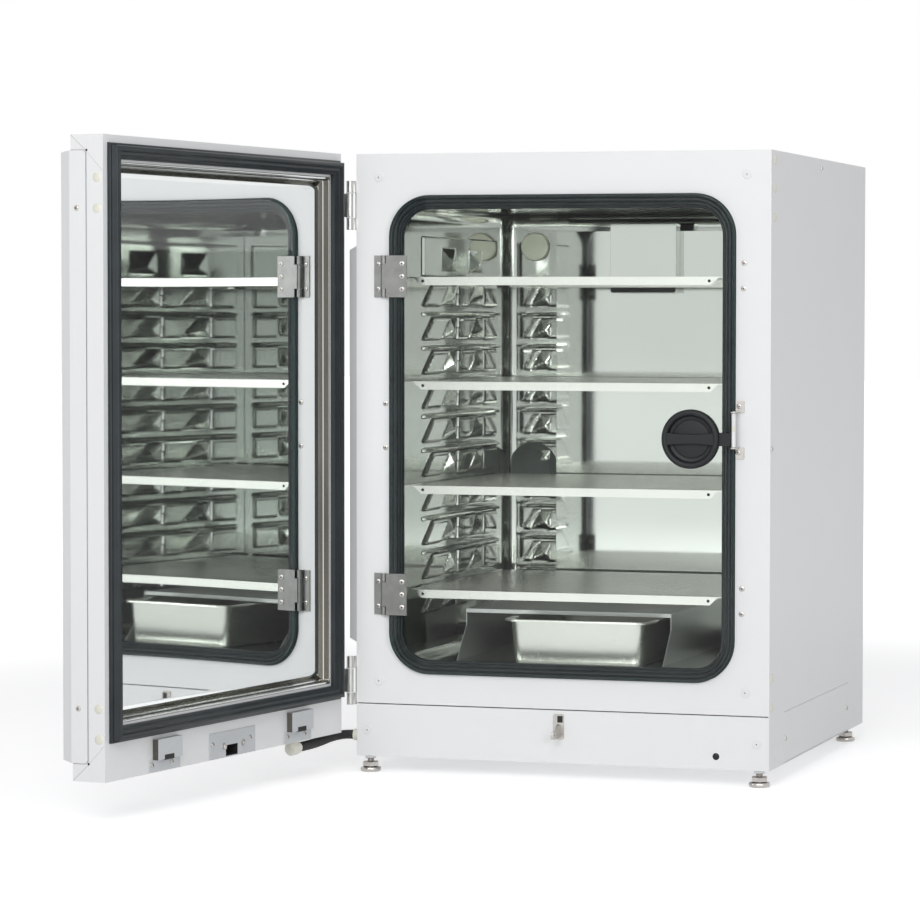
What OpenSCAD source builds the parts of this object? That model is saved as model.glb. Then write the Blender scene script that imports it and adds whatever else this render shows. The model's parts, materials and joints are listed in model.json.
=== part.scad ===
// Laboratory incubator: an insulated cabinet with a stainless chamber, a latched glass door
// and an insulated outer door, which stands open.
// +Z is up, the front faces -Y, and the origin lies on the floor midway between the four feet.
// Depths are counted backwards from the front face of the cabinet (see fy), heights upwards
// from the underside of its body (see bz). The outer door is drawn closed and then swung open.

/* [Cabinet] */
// Width of the cabinet and of the outer door
cab_w = 620; // [520:1:760]
// Depth of the cabinet without its doors
cab_d = 626; // [560:1:760]
// Height of the cabinet body, without its feet
body_h = 877; // [870:1:1080]
// Thickness of the painted sheet steel
sheet_t = 1.5; // [1:0.1:2.5]
// Height of the seam above the lower front panel
seam_h = 77; // [74:1:80]
// Height of a levelling foot below the body
foot_h = 24; // [20:1:40]
// Distance of a foot's axis from the side of the cabinet
foot_inset = 17; // [16:1:60]
// Depth of the front feet behind the front face
foot_front = 13; // [12:1:60]
// Distance of the rear feet from the back of the cabinet
foot_back = 49; // [20:1:80]
// Radius of a foot's pad
foot_r = 15; // [12:1:24]

/* [Chamber] */
// Inner width of the chamber
chamber_w = 490; // [440:1:500]
// Inner height of the chamber
chamber_h = 665; // [560:1:668]
// Depth from the front face to the chamber's back wall
chamber_back = 515; // [480:1:530]
// Height of the chamber floor above the body's underside
chamber_z = 137; // [132:1:150]
// Thickness of the stainless sheet
liner_t = 1.5; // [1:0.1:2.5]
// Width of the opening in the front frame
open_w = 518; // [500:1:530]
// Height of the opening in the front frame
open_h = 694; // [590:1:700]
// Corner radius of the opening
open_r = 60; // [50:1:70]
// Width of the chamber gasket's face
seal_w = 20; // [14:1:26]
// How far the chamber gasket stands proud of the front frame
seal_proud = 3.6; // [2:0.1:5]

/* [Shelves] */
// Gap between a shelf's edge and the chamber's wall
shelf_side = 10; // [7:0.5:20]
// Depth of a shelf
shelf_d = 425; // [360:1:425]
// Height of a shelf's lip
lip_h = 12; // [8:1:20]
// Height between two rows of shelf rests
rest_pitch = 50.6; // [44:0.2:52]
// Rows of shelf rests on each wall
rest_rows = 11; // [11:1:11]
// Height of the top shelf's upper face above the chamber floor
top_shelf = 562; // [500:1:570]

/* [Humidity pan] */
// Width of the pan
pan_w = 222; // [180:1:250]
// Depth of the pan
pan_d = 300; // [220:1:380]
// Height of the pan
pan_h = 66; // [40:1:68]

/* [Glass door] */
// Thickness of the glass
glass_t = 5; // [4:0.5:6]
// Gap between the glass and the chamber gasket
glass_gap = 0.4; // [0.3:0.1:1]
// Radius of the latch knob
knob_r = 42; // [34:1:46]
// Radius of the knob's spindle
spindle_r = 6; // [5:0.5:8]

/* [Outer door] */
// Angle that the outer door stands open
door_open = 99.05; // [60:0.05:150]
// Gap between the closed door's inner face and the cabinet
door_gap = 16; // [14:1:20]
// Depth of the door's inner frame
inner_t = 25; // [20:1:30]
// Depth of the door's outer shell
outer_t = 25; // [22:1:32]
// Depth of the raised front cover
cover_t = 21.5; // [18:0.5:26]
// Height of the door's lower edge above the body's underside
door_z = 34; // [30:1:40]
// Depth of the polished liner behind the inner face
liner_depth = 10; // [9:0.5:20]
// Width of the door gasket
gasket_w = 21; // [18:1:24]
// Distance of the gasket from the door's edge
gasket_inset = 10; // [8:1:14]

/* [Hinges] */
// Height of an outer door hinge
hinge_h = 71; // [60:1:90]
// Radius of an outer hinge's barrel
barrel_r = 5; // [4.5:0.1:6]
// Radius of the hinge pins
pin_r = 2.5; // [2:0.1:3]
// Radial running clearance of pins and shafts
fit = 0.05; // [0.03:0.01:0.09]
// Height of a glass door hinge
leaf_h = 60.5; // [50:0.5:70]
// Radius of a glass hinge's barrel
leaf_barrel_r = 4.4; // [4:0.1:5]

/* [Rear] */
// Bore of the access port
port_bore_r = 15; // [12:0.5:18]
// Wall of the access port tube
port_wall = 2; // [1.5:0.5:3]
// Radius of the impeller
fan_r = 42; // [34:1:46]
// Radius of the fan shaft
shaft_r = 4; // [3:0.5:5]

/* [Hidden] */
$fn = 48;

// Clearances that the whole model shares
seat = 0.3;          // a loose piece and what it rests on
slack = 0.5;         // a fitted piece and its cut-out
hair = 0.2;          // two sheets of one assembly that don't touch

// Frame: depths behind the front face, heights above the body's underside
foot_rear = cab_d - foot_back;
feet_mid = (foot_front + foot_rear) / 2;
foot_x = cab_w / 2 - foot_inset;
half_w = cab_w / 2;
seam_half = 0.8;        // half the gap between the two front panels
function fy(d) = d - feet_mid;
function bz(h) = h + foot_h;

// Chamber
open_z = chamber_z + chamber_h / 2;
chamber_x = chamber_w / 2;
chamber_top = chamber_z + chamber_h;
rim_d = 9;
rim_margin = 13;
chamber_front = rim_d + liner_t + hair;

// Shelves and their rests
shelf_w = chamber_w - 2 * shelf_side;
rest_overlap = 3.5;     // how far a shelf's edge lies over its rests
rest_reach = shelf_side + rest_overlap;
rest_h = 38;
rest_step = 8;
rest_front = 60;
rest_back = 460;
shelf_front = 20;
shelf_t = 1.2;
shelf_every = 3;
function shelf_top(i) = chamber_z + top_shelf - i * shelf_every * rest_pitch;
function rest_top(k) = shelf_top(0) - shelf_t - seat - k * rest_pitch;

// Duct, fan and pan cover
duct_d = chamber_back - 43;
duct_x0 = 94 - chamber_x;
duct_x1 = chamber_x - 2;
duct_z0 = chamber_z + 23;
duct_z1 = chamber_z + chamber_h - 27;
fan_x = -3;
fan_z = duct_z1 - 46;
fan_window_r = fan_r - 4;
housing_half = 53;
housing_depth = 24;
housing_z0 = fan_z - 51;
housing_z1 = fan_z + 57;
motor_r = 34;
pan_x = 14;
pan_front = 26;
pan_cover_x = -18;
pan_cover_half = 157;
pan_cover_z = chamber_z + 74;
pan_cover_front = 100;
pan_cover_slant = 45;

// Access port and the disc on the back wall
port_x = 47 - chamber_x;
port_z = chamber_z + chamber_h - 50;
port_cap_r = port_bore_r + 7.5;
disc_x = 44 - chamber_x;
disc_z = chamber_z + 264;
disc_r = 41;

// Glass door
glass_front = -seal_proud - glass_gap - glass_t;
glass_back = -seal_proud - glass_gap;
glass_inset = 2.5;
leaf_t = 2;
leaf_axis_x = -open_w / 2 - 7;
leaf_axis_d = glass_front - 0.4 + leaf_barrel_r;
leaf_z = [open_z + 230, open_z - 231.5];
leaf_end = 12;
leaf_gap = 0.6;
leaf_reach = 37;
knob_x = open_w / 2 - 60.7;
knob_z = open_z;
knob_front = glass_front - 15;
tongue_half = 9.5;
keeper_x = open_w / 2 + 1.5;
keeper_gap = 0.5;
roller_r = 3;
roller_pin_r = 1.5;
ear_h = 16.5;
arm_t = 1.6;
roller_d = -15;
keeper_z = [open_z - 11.5, open_z + 37.5];

// Outer door, drawn closed: ty counts outwards from its inner face
function ty(t) = fy(-door_gap - t);
door_t = inner_t + outer_t;
hinge_x = -half_w - 8;
hinge_d = -6;
hinge_z = [seam_h - 2, body_h - 110];
knuckle_h = 17;
knuckle_gap = 1.6;
hinge_leaf_t = 3;
gasket_x = half_w - gasket_inset;
gasket_z0 = door_z + 50.5;
gasket_z1 = body_h - 10.5;
gasket_base = 6;
gasket_seal = door_gap - 1.5;
liner_x = gasket_x - gasket_w - slack;
liner_z0 = gasket_z0 + gasket_w + 3.5;
liner_z1 = gasket_z1 - gasket_w - 3.5;
cover_x = half_w - 10;
flange_t = 1.2;
flange_r = 6;
flange_x = half_w + hair + flange_t;
cover_z0 = door_z + 23.5;
cover_z1 = body_h - 20.5;
grip_z = [400, 550];
grip_x = [cover_x - 50, cover_x - 16];
grip_depth = 14;
catch_z = [door_z + 1, door_z + 17, door_z + 45];
lock_x = [-62, 52];
lock_z = [door_z + 1.5, door_z + 35];
window_x = [-18, 13];
window_z = [door_z + 2, door_z + 17];
bolt_t = 12;
bolt_z = door_z + 9;
bolt_r = 3.5;
bolt_tip = window_x[1] - 6;
strike_x = -1;
strike_reach = door_gap + 18;

// Conduit: its points in the open door's pose, from the cabinet's grommet to the door's gland
conduit_r = 7;
grommet_at = [-half_w - 8, 12, 29];
gland_s = 118;
gland_t = 11;
gland_drop = 10.5;

// --- Shared shapes ---------------------------------------------------------------------

// Box between two depths and two heights
module slab(x0, x1, d0, d1, h0, h1) {
    translate([x0, fy(d0), bz(h0)]) cube([x1 - x0, d1 - d0, h1 - h0]);
}

// Plate between two depths, from an outline in x and height
module plate(d0, d1) {
    translate([0, fy(d1), bz(0)]) rotate([90, 0, 0]) linear_extrude(d1 - d0) children();
}

// Plate between two x values, from an outline in depth and height
module side_plate(x0, x1) {
    translate([x0, fy(0), bz(0)]) rotate([90, 0, 90]) linear_extrude(x1 - x0) children();
}

// Disc or pin along the depth
module peg(x, h, r, d0, d1) {
    translate([x, fy(d1), bz(h)]) rotate([90, 0, 0]) cylinder(r = r, h = d1 - d0);
}

// Disc or pin along x
module side_peg(d, h, r, x0, x1) {
    translate([x0, fy(d), bz(h)]) rotate([0, 90, 0]) cylinder(r = r, h = x1 - x0);
}

// Vertical pin or barrel
module post(x, d, r, h0, h1) {
    translate([x, fy(d), bz(h0)]) cylinder(r = r, h = h1 - h0);
}

// Rectangle with round corners, about its centre
module round_rect(w, h, r) {
    square([w - 2 * r, h], center = true);
    square([w, h - 2 * r], center = true);
    for (x = [-1, 1], z = [-1, 1]) translate([x * (w / 2 - r), z * (h / 2 - r)]) circle(r = r);
}

// Ring of a given width inside an outline with round corners
module round_ring(w, h, r, band) {
    difference() {
        round_rect(w, h, r);
        round_rect(w - 2 * band, h - 2 * band, r - band);
    }
}

// Box in the closed outer door, between two distances from its inner face
module door_slab(x0, x1, t0, t1, h0, h1) {
    slab(x0, x1, -door_gap - t1, -door_gap - t0, h0, h1);
}

// Swings the outer door's pieces from closed to open
module door_pose() {
    translate([hinge_x, fy(hinge_d), 0]) rotate([0, 0, -door_open])
        translate([-hinge_x, -fy(hinge_d), 0]) children();
}

// --- Cabinet ---------------------------------------------------------------------------

side_panel_d = [88, 521];
side_panel_h = [1, 75];
side_plug_r = 7;
side_plug_spots = [[22, body_h - 14], [20, body_h - 54.5], [20, body_h - 94.5], [14, 130], [14, 89.5]];
round_plug = [47, 25];
round_plug_r = 17;
side_screw_spots = [[317, body_h - 14], [9, 456]];
panel_screw_spots = [[101, 36], [508, 36]];
screw_r = 4;
shank_r = 2;
grommet_r = 8.5;

module cabinet_shell() {
    inner = half_w - sheet_t;
    color("white") difference() {
        slab(-half_w, half_w, sheet_t, cab_d - sheet_t, 0, body_h);
        slab(-inner, inner, sheet_t - 1, cab_d - sheet_t + 1, -1, body_h - sheet_t);
        slab(inner - 1, half_w + 1, side_panel_d[0], side_panel_d[1], side_panel_h[0], side_panel_h[1]);
        for (p = side_plug_spots) side_peg(p[0], p[1], side_plug_r - 1.5, inner - 1, half_w + 1);
        for (p = side_screw_spots) side_peg(p[0], p[1], shank_r + fit, inner - 1, half_w + 1);
        side_peg(round_plug[0], round_plug[1], round_plug_r - 1.5, inner - 1, half_w + 1);
        side_peg(grommet_at[1], grommet_at[2], grommet_r - 1.5, -half_w - 1, 1 - inner);
    }
}

module base_pan() {
    inner = half_w - sheet_t;
    color("lightgray") difference() {
        slab(-inner, inner, sheet_t, cab_d - sheet_t, 0, 2 * sheet_t);
        for (x = [-1, 1], d = [foot_front, foot_rear]) post(x * foot_x, d, stud_r + fit, -1, 2 * sheet_t + 1);
    }
}

stud_r = 5;
foot_pad = 7;
foot_hex = 10;
foot_hex_r = 12.5;
stud_rise = 30;
lock_nut = 4;
lock_nut_r = 9;

// Levelling foot: pad, spanner hexagon, threaded stud and lock nut, screwed up through the base pan
module foot(x, d) {
    color("silver") translate([x, fy(d), 0]) union() {
        cylinder(r = foot_r, h = foot_pad);
        translate([0, 0, foot_pad]) cylinder(r = foot_hex_r, h = foot_hex, $fn = 6);
        translate([0, 0, foot_pad]) cylinder(r = stud_r, h = foot_h + stud_rise - foot_pad);
        translate([0, 0, foot_h - seat - lock_nut]) cylinder(r = lock_nut_r, h = lock_nut, $fn = 6);
    }
}

inlet_x = [-220, -170];
inlet_z = [20, 52];
gas_x = chamber_x - 30;
gas_z = 190;
spacer_z = [body_h - 92, body_h - 50];

module back_panel() {
    color("whitesmoke") difference() {
        slab(-half_w, half_w, cab_d - sheet_t, cab_d, 0, body_h);
        peg(port_x, port_z, port_bore_r + port_wall + fit, cab_d - 5, cab_d + 1);
        peg(gas_x, gas_z, 5 + fit, cab_d - 5, cab_d + 1);
        slab(inlet_x[0], inlet_x[1], cab_d - 5, cab_d + 1, inlet_z[0], inlet_z[1]);
    }
}

frame_screws_right = [[271, body_h - 159], [270.5, body_h - 195], [269.5, 258], [269, 222]];
frame_screws_left = [[-265, open_z + 45.5], [-265, open_z - 18.5]];
keeper_screws = [[keeper_x + 3, keeper_z[0] - 7], [keeper_x + 4.5, keeper_z[1] + 9]];
leaf_screw_x = leaf_axis_x - 9.5;
leaf_screw_rise = 18;

// Every place where a screw passes through the front frame
module frame_holes(r, d0, d1) {
    for (p = concat(frame_screws_right, frame_screws_left, keeper_screws)) peg(p[0], p[1], r, d0, d1);
    for (z = leaf_z, s = [-1, 1]) peg(leaf_screw_x, z + s * leaf_screw_rise, r, d0, d1);
}

module front_frame() {
    flange = half_w - sheet_t;
    color("white") difference() {
        union() {
            slab(-half_w, half_w, 0, sheet_t, seam_h + seam_half, body_h);
            slab(-flange, -flange + sheet_t, 0, 20, seam_h + seam_half, body_h - sheet_t);
            slab(flange - sheet_t, flange, 0, 20, seam_h + seam_half, body_h - sheet_t);
            slab(-flange, flange, 0, 20, body_h - 2 * sheet_t, body_h - sheet_t);
            slab(-flange, flange, 0, 20, seam_h + seam_half, seam_h + seam_half + sheet_t);
            translate([0, 0, open_z]) plate(0, rim_d - hair)
                round_rect(open_w + 2 * slack + 2 * sheet_t, open_h + 2 * slack + 2 * sheet_t, open_r + sheet_t);
        }
        translate([0, 0, open_z]) plate(-1, rim_d + 1)
            round_rect(open_w + 2 * slack, open_h + 2 * slack, open_r + slack);
        frame_holes(shank_r + fit, -1, sheet_t + 1);
    }
}

panel_plug = [232.5, 18.5];
panel_plug_r = 5;
strike_half = 8;
strike_z = [door_z + 1, door_z + 37];

module lower_front_panel() {
    flange = half_w - sheet_t;
    color("white") difference() {
        union() {
            slab(-half_w, half_w, 0, sheet_t, 0, seam_h - seam_half);
            slab(-flange, -flange + sheet_t, 0, 15, 2 * sheet_t + hair, seam_h - seam_half);
            slab(flange - sheet_t, flange, 0, 15, 2 * sheet_t + hair, seam_h - seam_half);
            slab(-flange, flange, 0, 15, seam_h - seam_half - sheet_t, seam_h - seam_half);
        }
        peg(panel_plug[0], panel_plug[1], panel_plug_r - 1, -1, sheet_t + 1);
    }
}

insulation_back = cab_d - 12;

module insulation() {
    side = half_w - sheet_t - seat;
    box = chamber_x + liner_t + seat;
    color("khaki") difference() {
        slab(-side, side, 20 + seat, insulation_back, seam_h + 5, body_h - sheet_t - seat);
        slab(-box, box, 19, chamber_back + liner_t + seat, chamber_z - liner_t - seat, chamber_top + liner_t + seat);
        peg(port_x, port_z, port_bore_r + port_wall + seat, chamber_back, cab_d);
        peg(fan_x, fan_z, motor_r + seat, chamber_back, motor_back + seat);
        peg(gas_x, gas_z, 5 + seat, chamber_back, cab_d);
    }
}

// --- Chamber ---------------------------------------------------------------------------

module chamber_liner() {
    wall = chamber_x + liner_t;
    color("silver") difference() {
        union() {
            translate([0, 0, open_z]) plate(rim_d, rim_d + liner_t) difference() {
                square([open_w + 2 * rim_margin, open_h + 2 * rim_margin], center = true);
                round_rect(chamber_w, chamber_h, open_r - seal_w + 4);
            }
            slab(-wall, -chamber_x, chamber_front, chamber_back - hair, chamber_z - liner_t, chamber_top + liner_t);
            slab(chamber_x, wall, chamber_front, chamber_back - hair, chamber_z - liner_t, chamber_top + liner_t);
            slab(hair - chamber_x, chamber_x - hair, chamber_front, chamber_back - hair, chamber_top, chamber_top + liner_t);
            slab(hair - chamber_x, chamber_x - hair, chamber_front, chamber_back - hair, chamber_z - liner_t, chamber_z);
            slab(-wall, wall, chamber_back, chamber_back + liner_t, chamber_z - liner_t, chamber_top + liner_t);
        }
        peg(port_x, port_z, port_bore_r + port_wall + fit, chamber_back - 1, chamber_back + 5);
        peg(fan_x, fan_z, shaft_r + 4, chamber_back - 1, chamber_back + 5);
        peg(gas_x, gas_z, 5 + fit, chamber_back - 1, chamber_back + 5);
    }
}

// One row of rests on the left wall: a strip with four noses that the shelf's edge slides on
module rest_row(top) {
    foot = hair - chamber_x;
    nose = rest_reach - chamber_x;
    bumps = 4;
    length = (rest_back - rest_front) / bumps;
    slab(foot, foot + 2, rest_front - 10, rest_back + 8, top - rest_h, top);
    for (i = [0:bumps - 1]) translate([0, fy(rest_front + (i + 0.9) * length), bz(0)]) rotate([90, 0, 0])
        linear_extrude(0.8 * length)
            polygon([[foot, top], [nose, top], [nose, top - rest_step], [foot + 1, top - rest_h + 1], [foot, top - rest_h + 1]]);
}

module shelf_rests() {
    color("silver") for (side = [0, 1]) mirror([side, 0, 0])
        for (k = [-1:rest_rows - 2]) rest_row(rest_top(k));
}

module duct_cover() {
    color("silver") difference() {
        union() {
            slab(duct_x0, duct_x1, duct_d, duct_d + liner_t, duct_z0, duct_z1);
            slab(duct_x0, duct_x0 + liner_t, duct_d, chamber_back - seat, duct_z0, duct_z1);
            slab(duct_x1 - liner_t, duct_x1, duct_d, chamber_back - seat, duct_z0, duct_z1);
            slab(duct_x0, duct_x1, duct_d, chamber_back - seat, duct_z1 - liner_t, duct_z1);
        }
        peg(fan_x, fan_z, fan_window_r, duct_d - 1, duct_d + liner_t + 1);
    }
}

module fan_housing() {
    front = duct_d - housing_depth;
    color("silver") difference() {
        slab(fan_x - housing_half, fan_x + housing_half, front, duct_d - seat, housing_z0, housing_z1);
        slab(fan_x - housing_half + liner_t, fan_x + housing_half - liner_t, front + liner_t, duct_d + 1,
            housing_z0 - 1, housing_z1 - liner_t);
    }
}

motor_back = chamber_back + 60;
fan_d = [duct_d + 5, chamber_back - 10];

module fan_motor() {
    front = chamber_back + liner_t + seat;
    color("dimgray") difference() {
        peg(fan_x, fan_z, motor_r, front, motor_back);
        peg(fan_x, fan_z, shaft_r + fit, front - 1, motor_back - 15);
    }
}

module fan_impeller() {
    blades = 7;
    hub_r = shaft_r + 7;
    color("gainsboro") union() {
        peg(fan_x, fan_z, shaft_r, fan_d[0] + 4, motor_back - 16);
        peg(fan_x, fan_z, hub_r, fan_d[0], fan_d[1]);
        peg(fan_x, fan_z, fan_r, fan_d[1] - 2, fan_d[1]);
        translate([fan_x, fy(fan_d[1]), bz(fan_z)]) rotate([90, 0, 0])
            for (i = [0:blades - 1]) rotate([0, 0, i * 360 / blades]) translate([hub_r - 3, -1, 1])
                cube([fan_r - hub_r, 2, fan_d[1] - fan_d[0] - 3]);
    }
}

module sensor_disc() {
    color("dimgray") union() {
        peg(disc_x, disc_z, disc_r, chamber_back - seat - 4, chamber_back - seat);
        peg(disc_x, disc_z, disc_r - 12, chamber_back - seat - 6, chamber_back - seat - 3);
    }
}

port_flange_t = 1.4;
port_end = cab_d + 6;

module access_port_tube() {
    color("silver") difference() {
        union() {
            peg(port_x, port_z, port_bore_r + port_wall, chamber_back - port_flange_t, port_end);
            peg(port_x, port_z, port_cap_r - 2, chamber_back - port_flange_t, chamber_back);
            peg(port_x, port_z, port_cap_r - 2, cab_d, port_end);
        }
        peg(port_x, port_z, port_bore_r, chamber_back - 5, port_end + 1);
    }
}

port_stem_r = port_bore_r - fit;

module port_plug_inner() {
    face = chamber_back - port_flange_t - seat;
    color("beige") union() {
        peg(port_x, port_z, port_cap_r, face - 8, face);
        peg(port_x, port_z, port_stem_r, face - 4, face + 30);
    }
}

module port_plug_outer() {
    face = port_end + seat;
    color("beige") union() {
        peg(port_x, port_z, port_cap_r, face, face + 8);
        peg(port_x, port_z, port_stem_r, face - 30, face + 4);
    }
}

module pan_cover() {
    x0 = pan_cover_x - pan_cover_half;
    x1 = pan_cover_x + pan_cover_half;
    floor_z = chamber_z + seat;
    back = duct_d - 6;
    cheek = [[pan_cover_front, pan_cover_z], [pan_cover_front, pan_cover_z - 24],
        [pan_cover_front - pan_cover_slant, floor_z], [back, floor_z], [back, pan_cover_z]];
    color("silver") union() {
        slab(x0, x1, pan_cover_front, back, pan_cover_z - shelf_t, pan_cover_z);
        side_plate(x0, x0 + shelf_t) polygon(cheek);
        side_plate(x1 - shelf_t, x1) polygon(cheek);
        slab(x0, x1, pan_cover_front, pan_cover_front + shelf_t, pan_cover_z - 6, pan_cover_z);
    }
}

// Tray whose walls lean outwards, as a hull of a small and a large rectangle
module tray_body(w, d, h, lean, z0) {
    hull() {
        translate([-w / 2 + lean, lean, z0]) cube([w - 2 * lean, d - 2 * lean, 0.1]);
        translate([-w / 2, 0, z0 + h - 0.1]) cube([w, d, 0.1]);
    }
}

module humidity_pan() {
    wall = 1.2;
    rim = 5;
    z0 = bz(chamber_z + seat);
    color("silver") translate([pan_x, fy(pan_front), 0]) difference() {
        union() {
            translate([0, rim, 0]) tray_body(pan_w - 2 * rim, pan_d - 2 * rim, pan_h, 7, z0);
            translate([-pan_w / 2, 0, z0 + pan_h - 2]) cube([pan_w, pan_d, 2]);
        }
        translate([0, rim + wall, wall]) tray_body(pan_w - 2 * rim - 2 * wall, pan_d - 2 * rim - 2 * wall, pan_h, 7, z0);
    }
}

// Perforated shelf: the perforation is left to the finished surface
module shelf(i) {
    top = shelf_top(i);
    back = shelf_front + shelf_d;
    half = shelf_w / 2;
    nose = chamber_x - rest_reach - 2.5;
    lip = [[-half, top], [half, top], [half, top - shelf_t], [nose, top - shelf_t], [nose - lip_h + shelf_t, top - lip_h],
        [lip_h - shelf_t - nose, top - lip_h], [-nose, top - shelf_t], [-half, top - shelf_t]];
    color("silver") union() {
        slab(-half, half, shelf_front, back, top - shelf_t, top);
        plate(shelf_front, shelf_front + shelf_t) polygon(lip);
        plate(back - shelf_t, back) polygon(lip);
    }
}

// --- Glass door ------------------------------------------------------------------------

module chamber_gasket() {
    color("darkslategray") translate([0, 0, open_z]) {
        plate(-seal_proud, rim_d - hair) round_ring(open_w, open_h, open_r, seal_w / 2);
        plate(0, rim_d - hair) round_ring(open_w - seal_w + 0.02, open_h - seal_w + 0.02, open_r - seal_w / 2, seal_w / 2);
    }
}

function leaf_holes(z) = [for (k = [-1:1]) [leaf_axis_x + leaf_reach - 7, z + k * 18.5]];

module glass_pane() {
    color("lightcyan") difference() {
        translate([0, 0, open_z]) plate(glass_front, glass_back)
            round_rect(open_w - 2 * glass_inset, open_h - 2 * glass_inset, open_r - glass_inset);
        for (z = leaf_z, p = leaf_holes(z)) peg(p[0], p[1], shank_r + 0.5, glass_front - 1, glass_back + 1);
        peg(knob_x, knob_z, bush_r + 0.5, glass_front - 1, glass_back + 1);
    }
}

// A glass hinge's barrel between two heights, bored for the pin
module leaf_knuckle(h0, h1) {
    difference() {
        post(leaf_axis_x, leaf_axis_d, leaf_barrel_r, h0, h1);
        post(leaf_axis_x, leaf_axis_d, leaf_pin_r + fit, h0 - 1, h1 + 1);
    }
}

leaf_pin_r = 1.8;
leaf_plate_x = leaf_axis_x - 16;

module glass_hinge_frame_leaves() {
    half = leaf_h / 2;
    color("silver") for (z = leaf_z) {
        difference() {
            union() {
                slab(leaf_plate_x, leaf_axis_x - leaf_barrel_r, -leaf_t, 0, z - half, z + half);
                for (s = [-1, 1]) slab(leaf_axis_x - leaf_barrel_r - 1, leaf_axis_x, -leaf_t, -0.6,
                    z + s * (half - leaf_end / 2) - leaf_end / 2, z + s * (half - leaf_end / 2) + leaf_end / 2);
            }
            for (s = [-1, 1]) peg(leaf_screw_x, z + s * leaf_screw_rise, shank_r + fit, -leaf_t - 1, 1);
            post(leaf_axis_x, leaf_axis_d, leaf_pin_r + fit, z - half - 1, z + half + 1);
        }
        leaf_knuckle(z - half, z - half + leaf_end);
        leaf_knuckle(z + half - leaf_end, z + half);
    }
}

module glass_hinge_door_leaves() {
    half = leaf_h / 2;
    mid = half - leaf_end - leaf_gap;
    color("silver") for (z = leaf_z) difference() {
        union() {
            slab(leaf_axis_x + leaf_barrel_r + 0.6, leaf_axis_x + leaf_reach, glass_front - leaf_t, glass_front, z - half, z + half);
            slab(leaf_axis_x, leaf_axis_x + leaf_barrel_r + 1, glass_front - leaf_t, glass_front, z - mid, z + mid);
            post(leaf_axis_x, leaf_axis_d, leaf_barrel_r, z - mid, z + mid);
        }
        post(leaf_axis_x, leaf_axis_d, leaf_pin_r + fit, z - half - 1, z + half + 1);
        for (p = leaf_holes(z)) peg(p[0], p[1], shank_r + fit, glass_front - leaf_t - 1, glass_front + 1);
    }
}

module glass_leaf_screws() {
    color("silver") for (z = leaf_z, p = leaf_holes(z)) union() {
        peg(p[0], p[1], screw_r, glass_front - leaf_t - 1.2, glass_front - leaf_t);
        peg(p[0], p[1], shank_r, glass_front - leaf_t - 1, glass_back + 2);
        peg(p[0], p[1], screw_r - 0.5, glass_back, glass_back + 2);
    }
}

module hinge_pins() {
    color("gray") {
        for (z = leaf_z) post(leaf_axis_x, leaf_axis_d, leaf_pin_r, z - leaf_h / 2, z + leaf_h / 2);
        for (z = hinge_z) post(hinge_x, hinge_d, pin_r, z, z + hinge_h);
    }
}

bush_r = spindle_r + 3;

module knob_bush() {
    color("dimgray") difference() {
        union() {
            peg(knob_x, knob_z, bush_r, glass_front - 0.8, glass_back + 1);
            peg(knob_x, knob_z, bush_r + 6, glass_front - 0.8, glass_front);
            peg(knob_x, knob_z, bush_r + 6, glass_back, glass_back + 3);
        }
        peg(knob_x, knob_z, spindle_r + fit, glass_front - 5, glass_back + 5);
    }
}

// Knob: a dish with a waisted grip bar across it, a tongue that reaches the keeper, and the spindle
module knob() {
    back = glass_front - 0.8 - seat;
    dish_r = knob_r - 8;
    bar_half = 9;
    tongue_end = keeper_x - roller_r - keeper_gap - knob_x;
    color("dimgray") translate([knob_x, fy(0), bz(knob_z)]) rotate([90, 0, 0]) union() {
        difference() {
            translate([0, 0, -back]) cylinder(r = knob_r, h = back - knob_front);
            translate([0, 0, -back + 4]) cylinder(r = dish_r, h = 30);
        }
        translate([0, 0, -back]) linear_extrude(back - knob_front - 1) difference() {
            square([2 * dish_r + 4, 2 * bar_half], center = true);
            for (s = [-1, 1]) translate([0, s * (bar_half + 57)]) circle(r = 60, $fn = 96);
        }
        intersection() {
            translate([knob_r - 5, -tongue_half, -roller_d - 3]) cube([tongue_end, 2 * tongue_half, 6]);
            translate([0, 0, -roller_d - 4]) cylinder(r = tongue_end, h = 8);
        }
        translate([0, 0, -glass_back - 6]) cylinder(r = spindle_r, h = glass_back + 6 - back + 2);
    }
}

// Two ears on the frame, each with an arm that holds one end of the roller in front of the glass
module keeper_bracket() {
    reach = roller_d - roller_r - 2;
    ear = [open_w / 2 + 0.8, keeper_x + 12];
    arm = [keeper_x - roller_r - hair, keeper_x + roller_r + 1];
    color("silver") for (s = [0, 1]) {
        up = 2 * s - 1;
        z0 = min(keeper_z[s], keeper_z[s] + up * ear_h);
        a0 = min(keeper_z[s], keeper_z[s] + up * arm_t);
        difference() {
            union() {
                slab(ear[0], ear[1], -leaf_t, 0, z0, z0 + ear_h);
                slab(ear[0], arm[1], reach, 0, a0, a0 + arm_t);
                slab(arm[0], arm[1], reach, glass_front - 1.5, a0, a0 + arm_t);
            }
            peg(keeper_screws[s][0], keeper_screws[s][1], shank_r + fit, -leaf_t - 1, 1);
            post(keeper_x, roller_d, roller_pin_r + fit, a0 - 1, a0 + arm_t + 1);
        }
    }
}

module keeper_roller() {
    color("white") union() {
        post(keeper_x, roller_d, roller_r, keeper_z[0] + seat, keeper_z[1] - seat);
        post(keeper_x, roller_d, roller_pin_r, keeper_z[0] - arm_t - 0.6, keeper_z[1] + arm_t + 0.6);
    }
}

// --- Cabinet trim ----------------------------------------------------------------------

// Screw with a flat head on a face at depth d, its shank going in
module screw(x, h, d) {
    peg(x, h, screw_r, d - 1.4, d);
    peg(x, h, shank_r, d - 1, d + 6);
}

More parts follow.
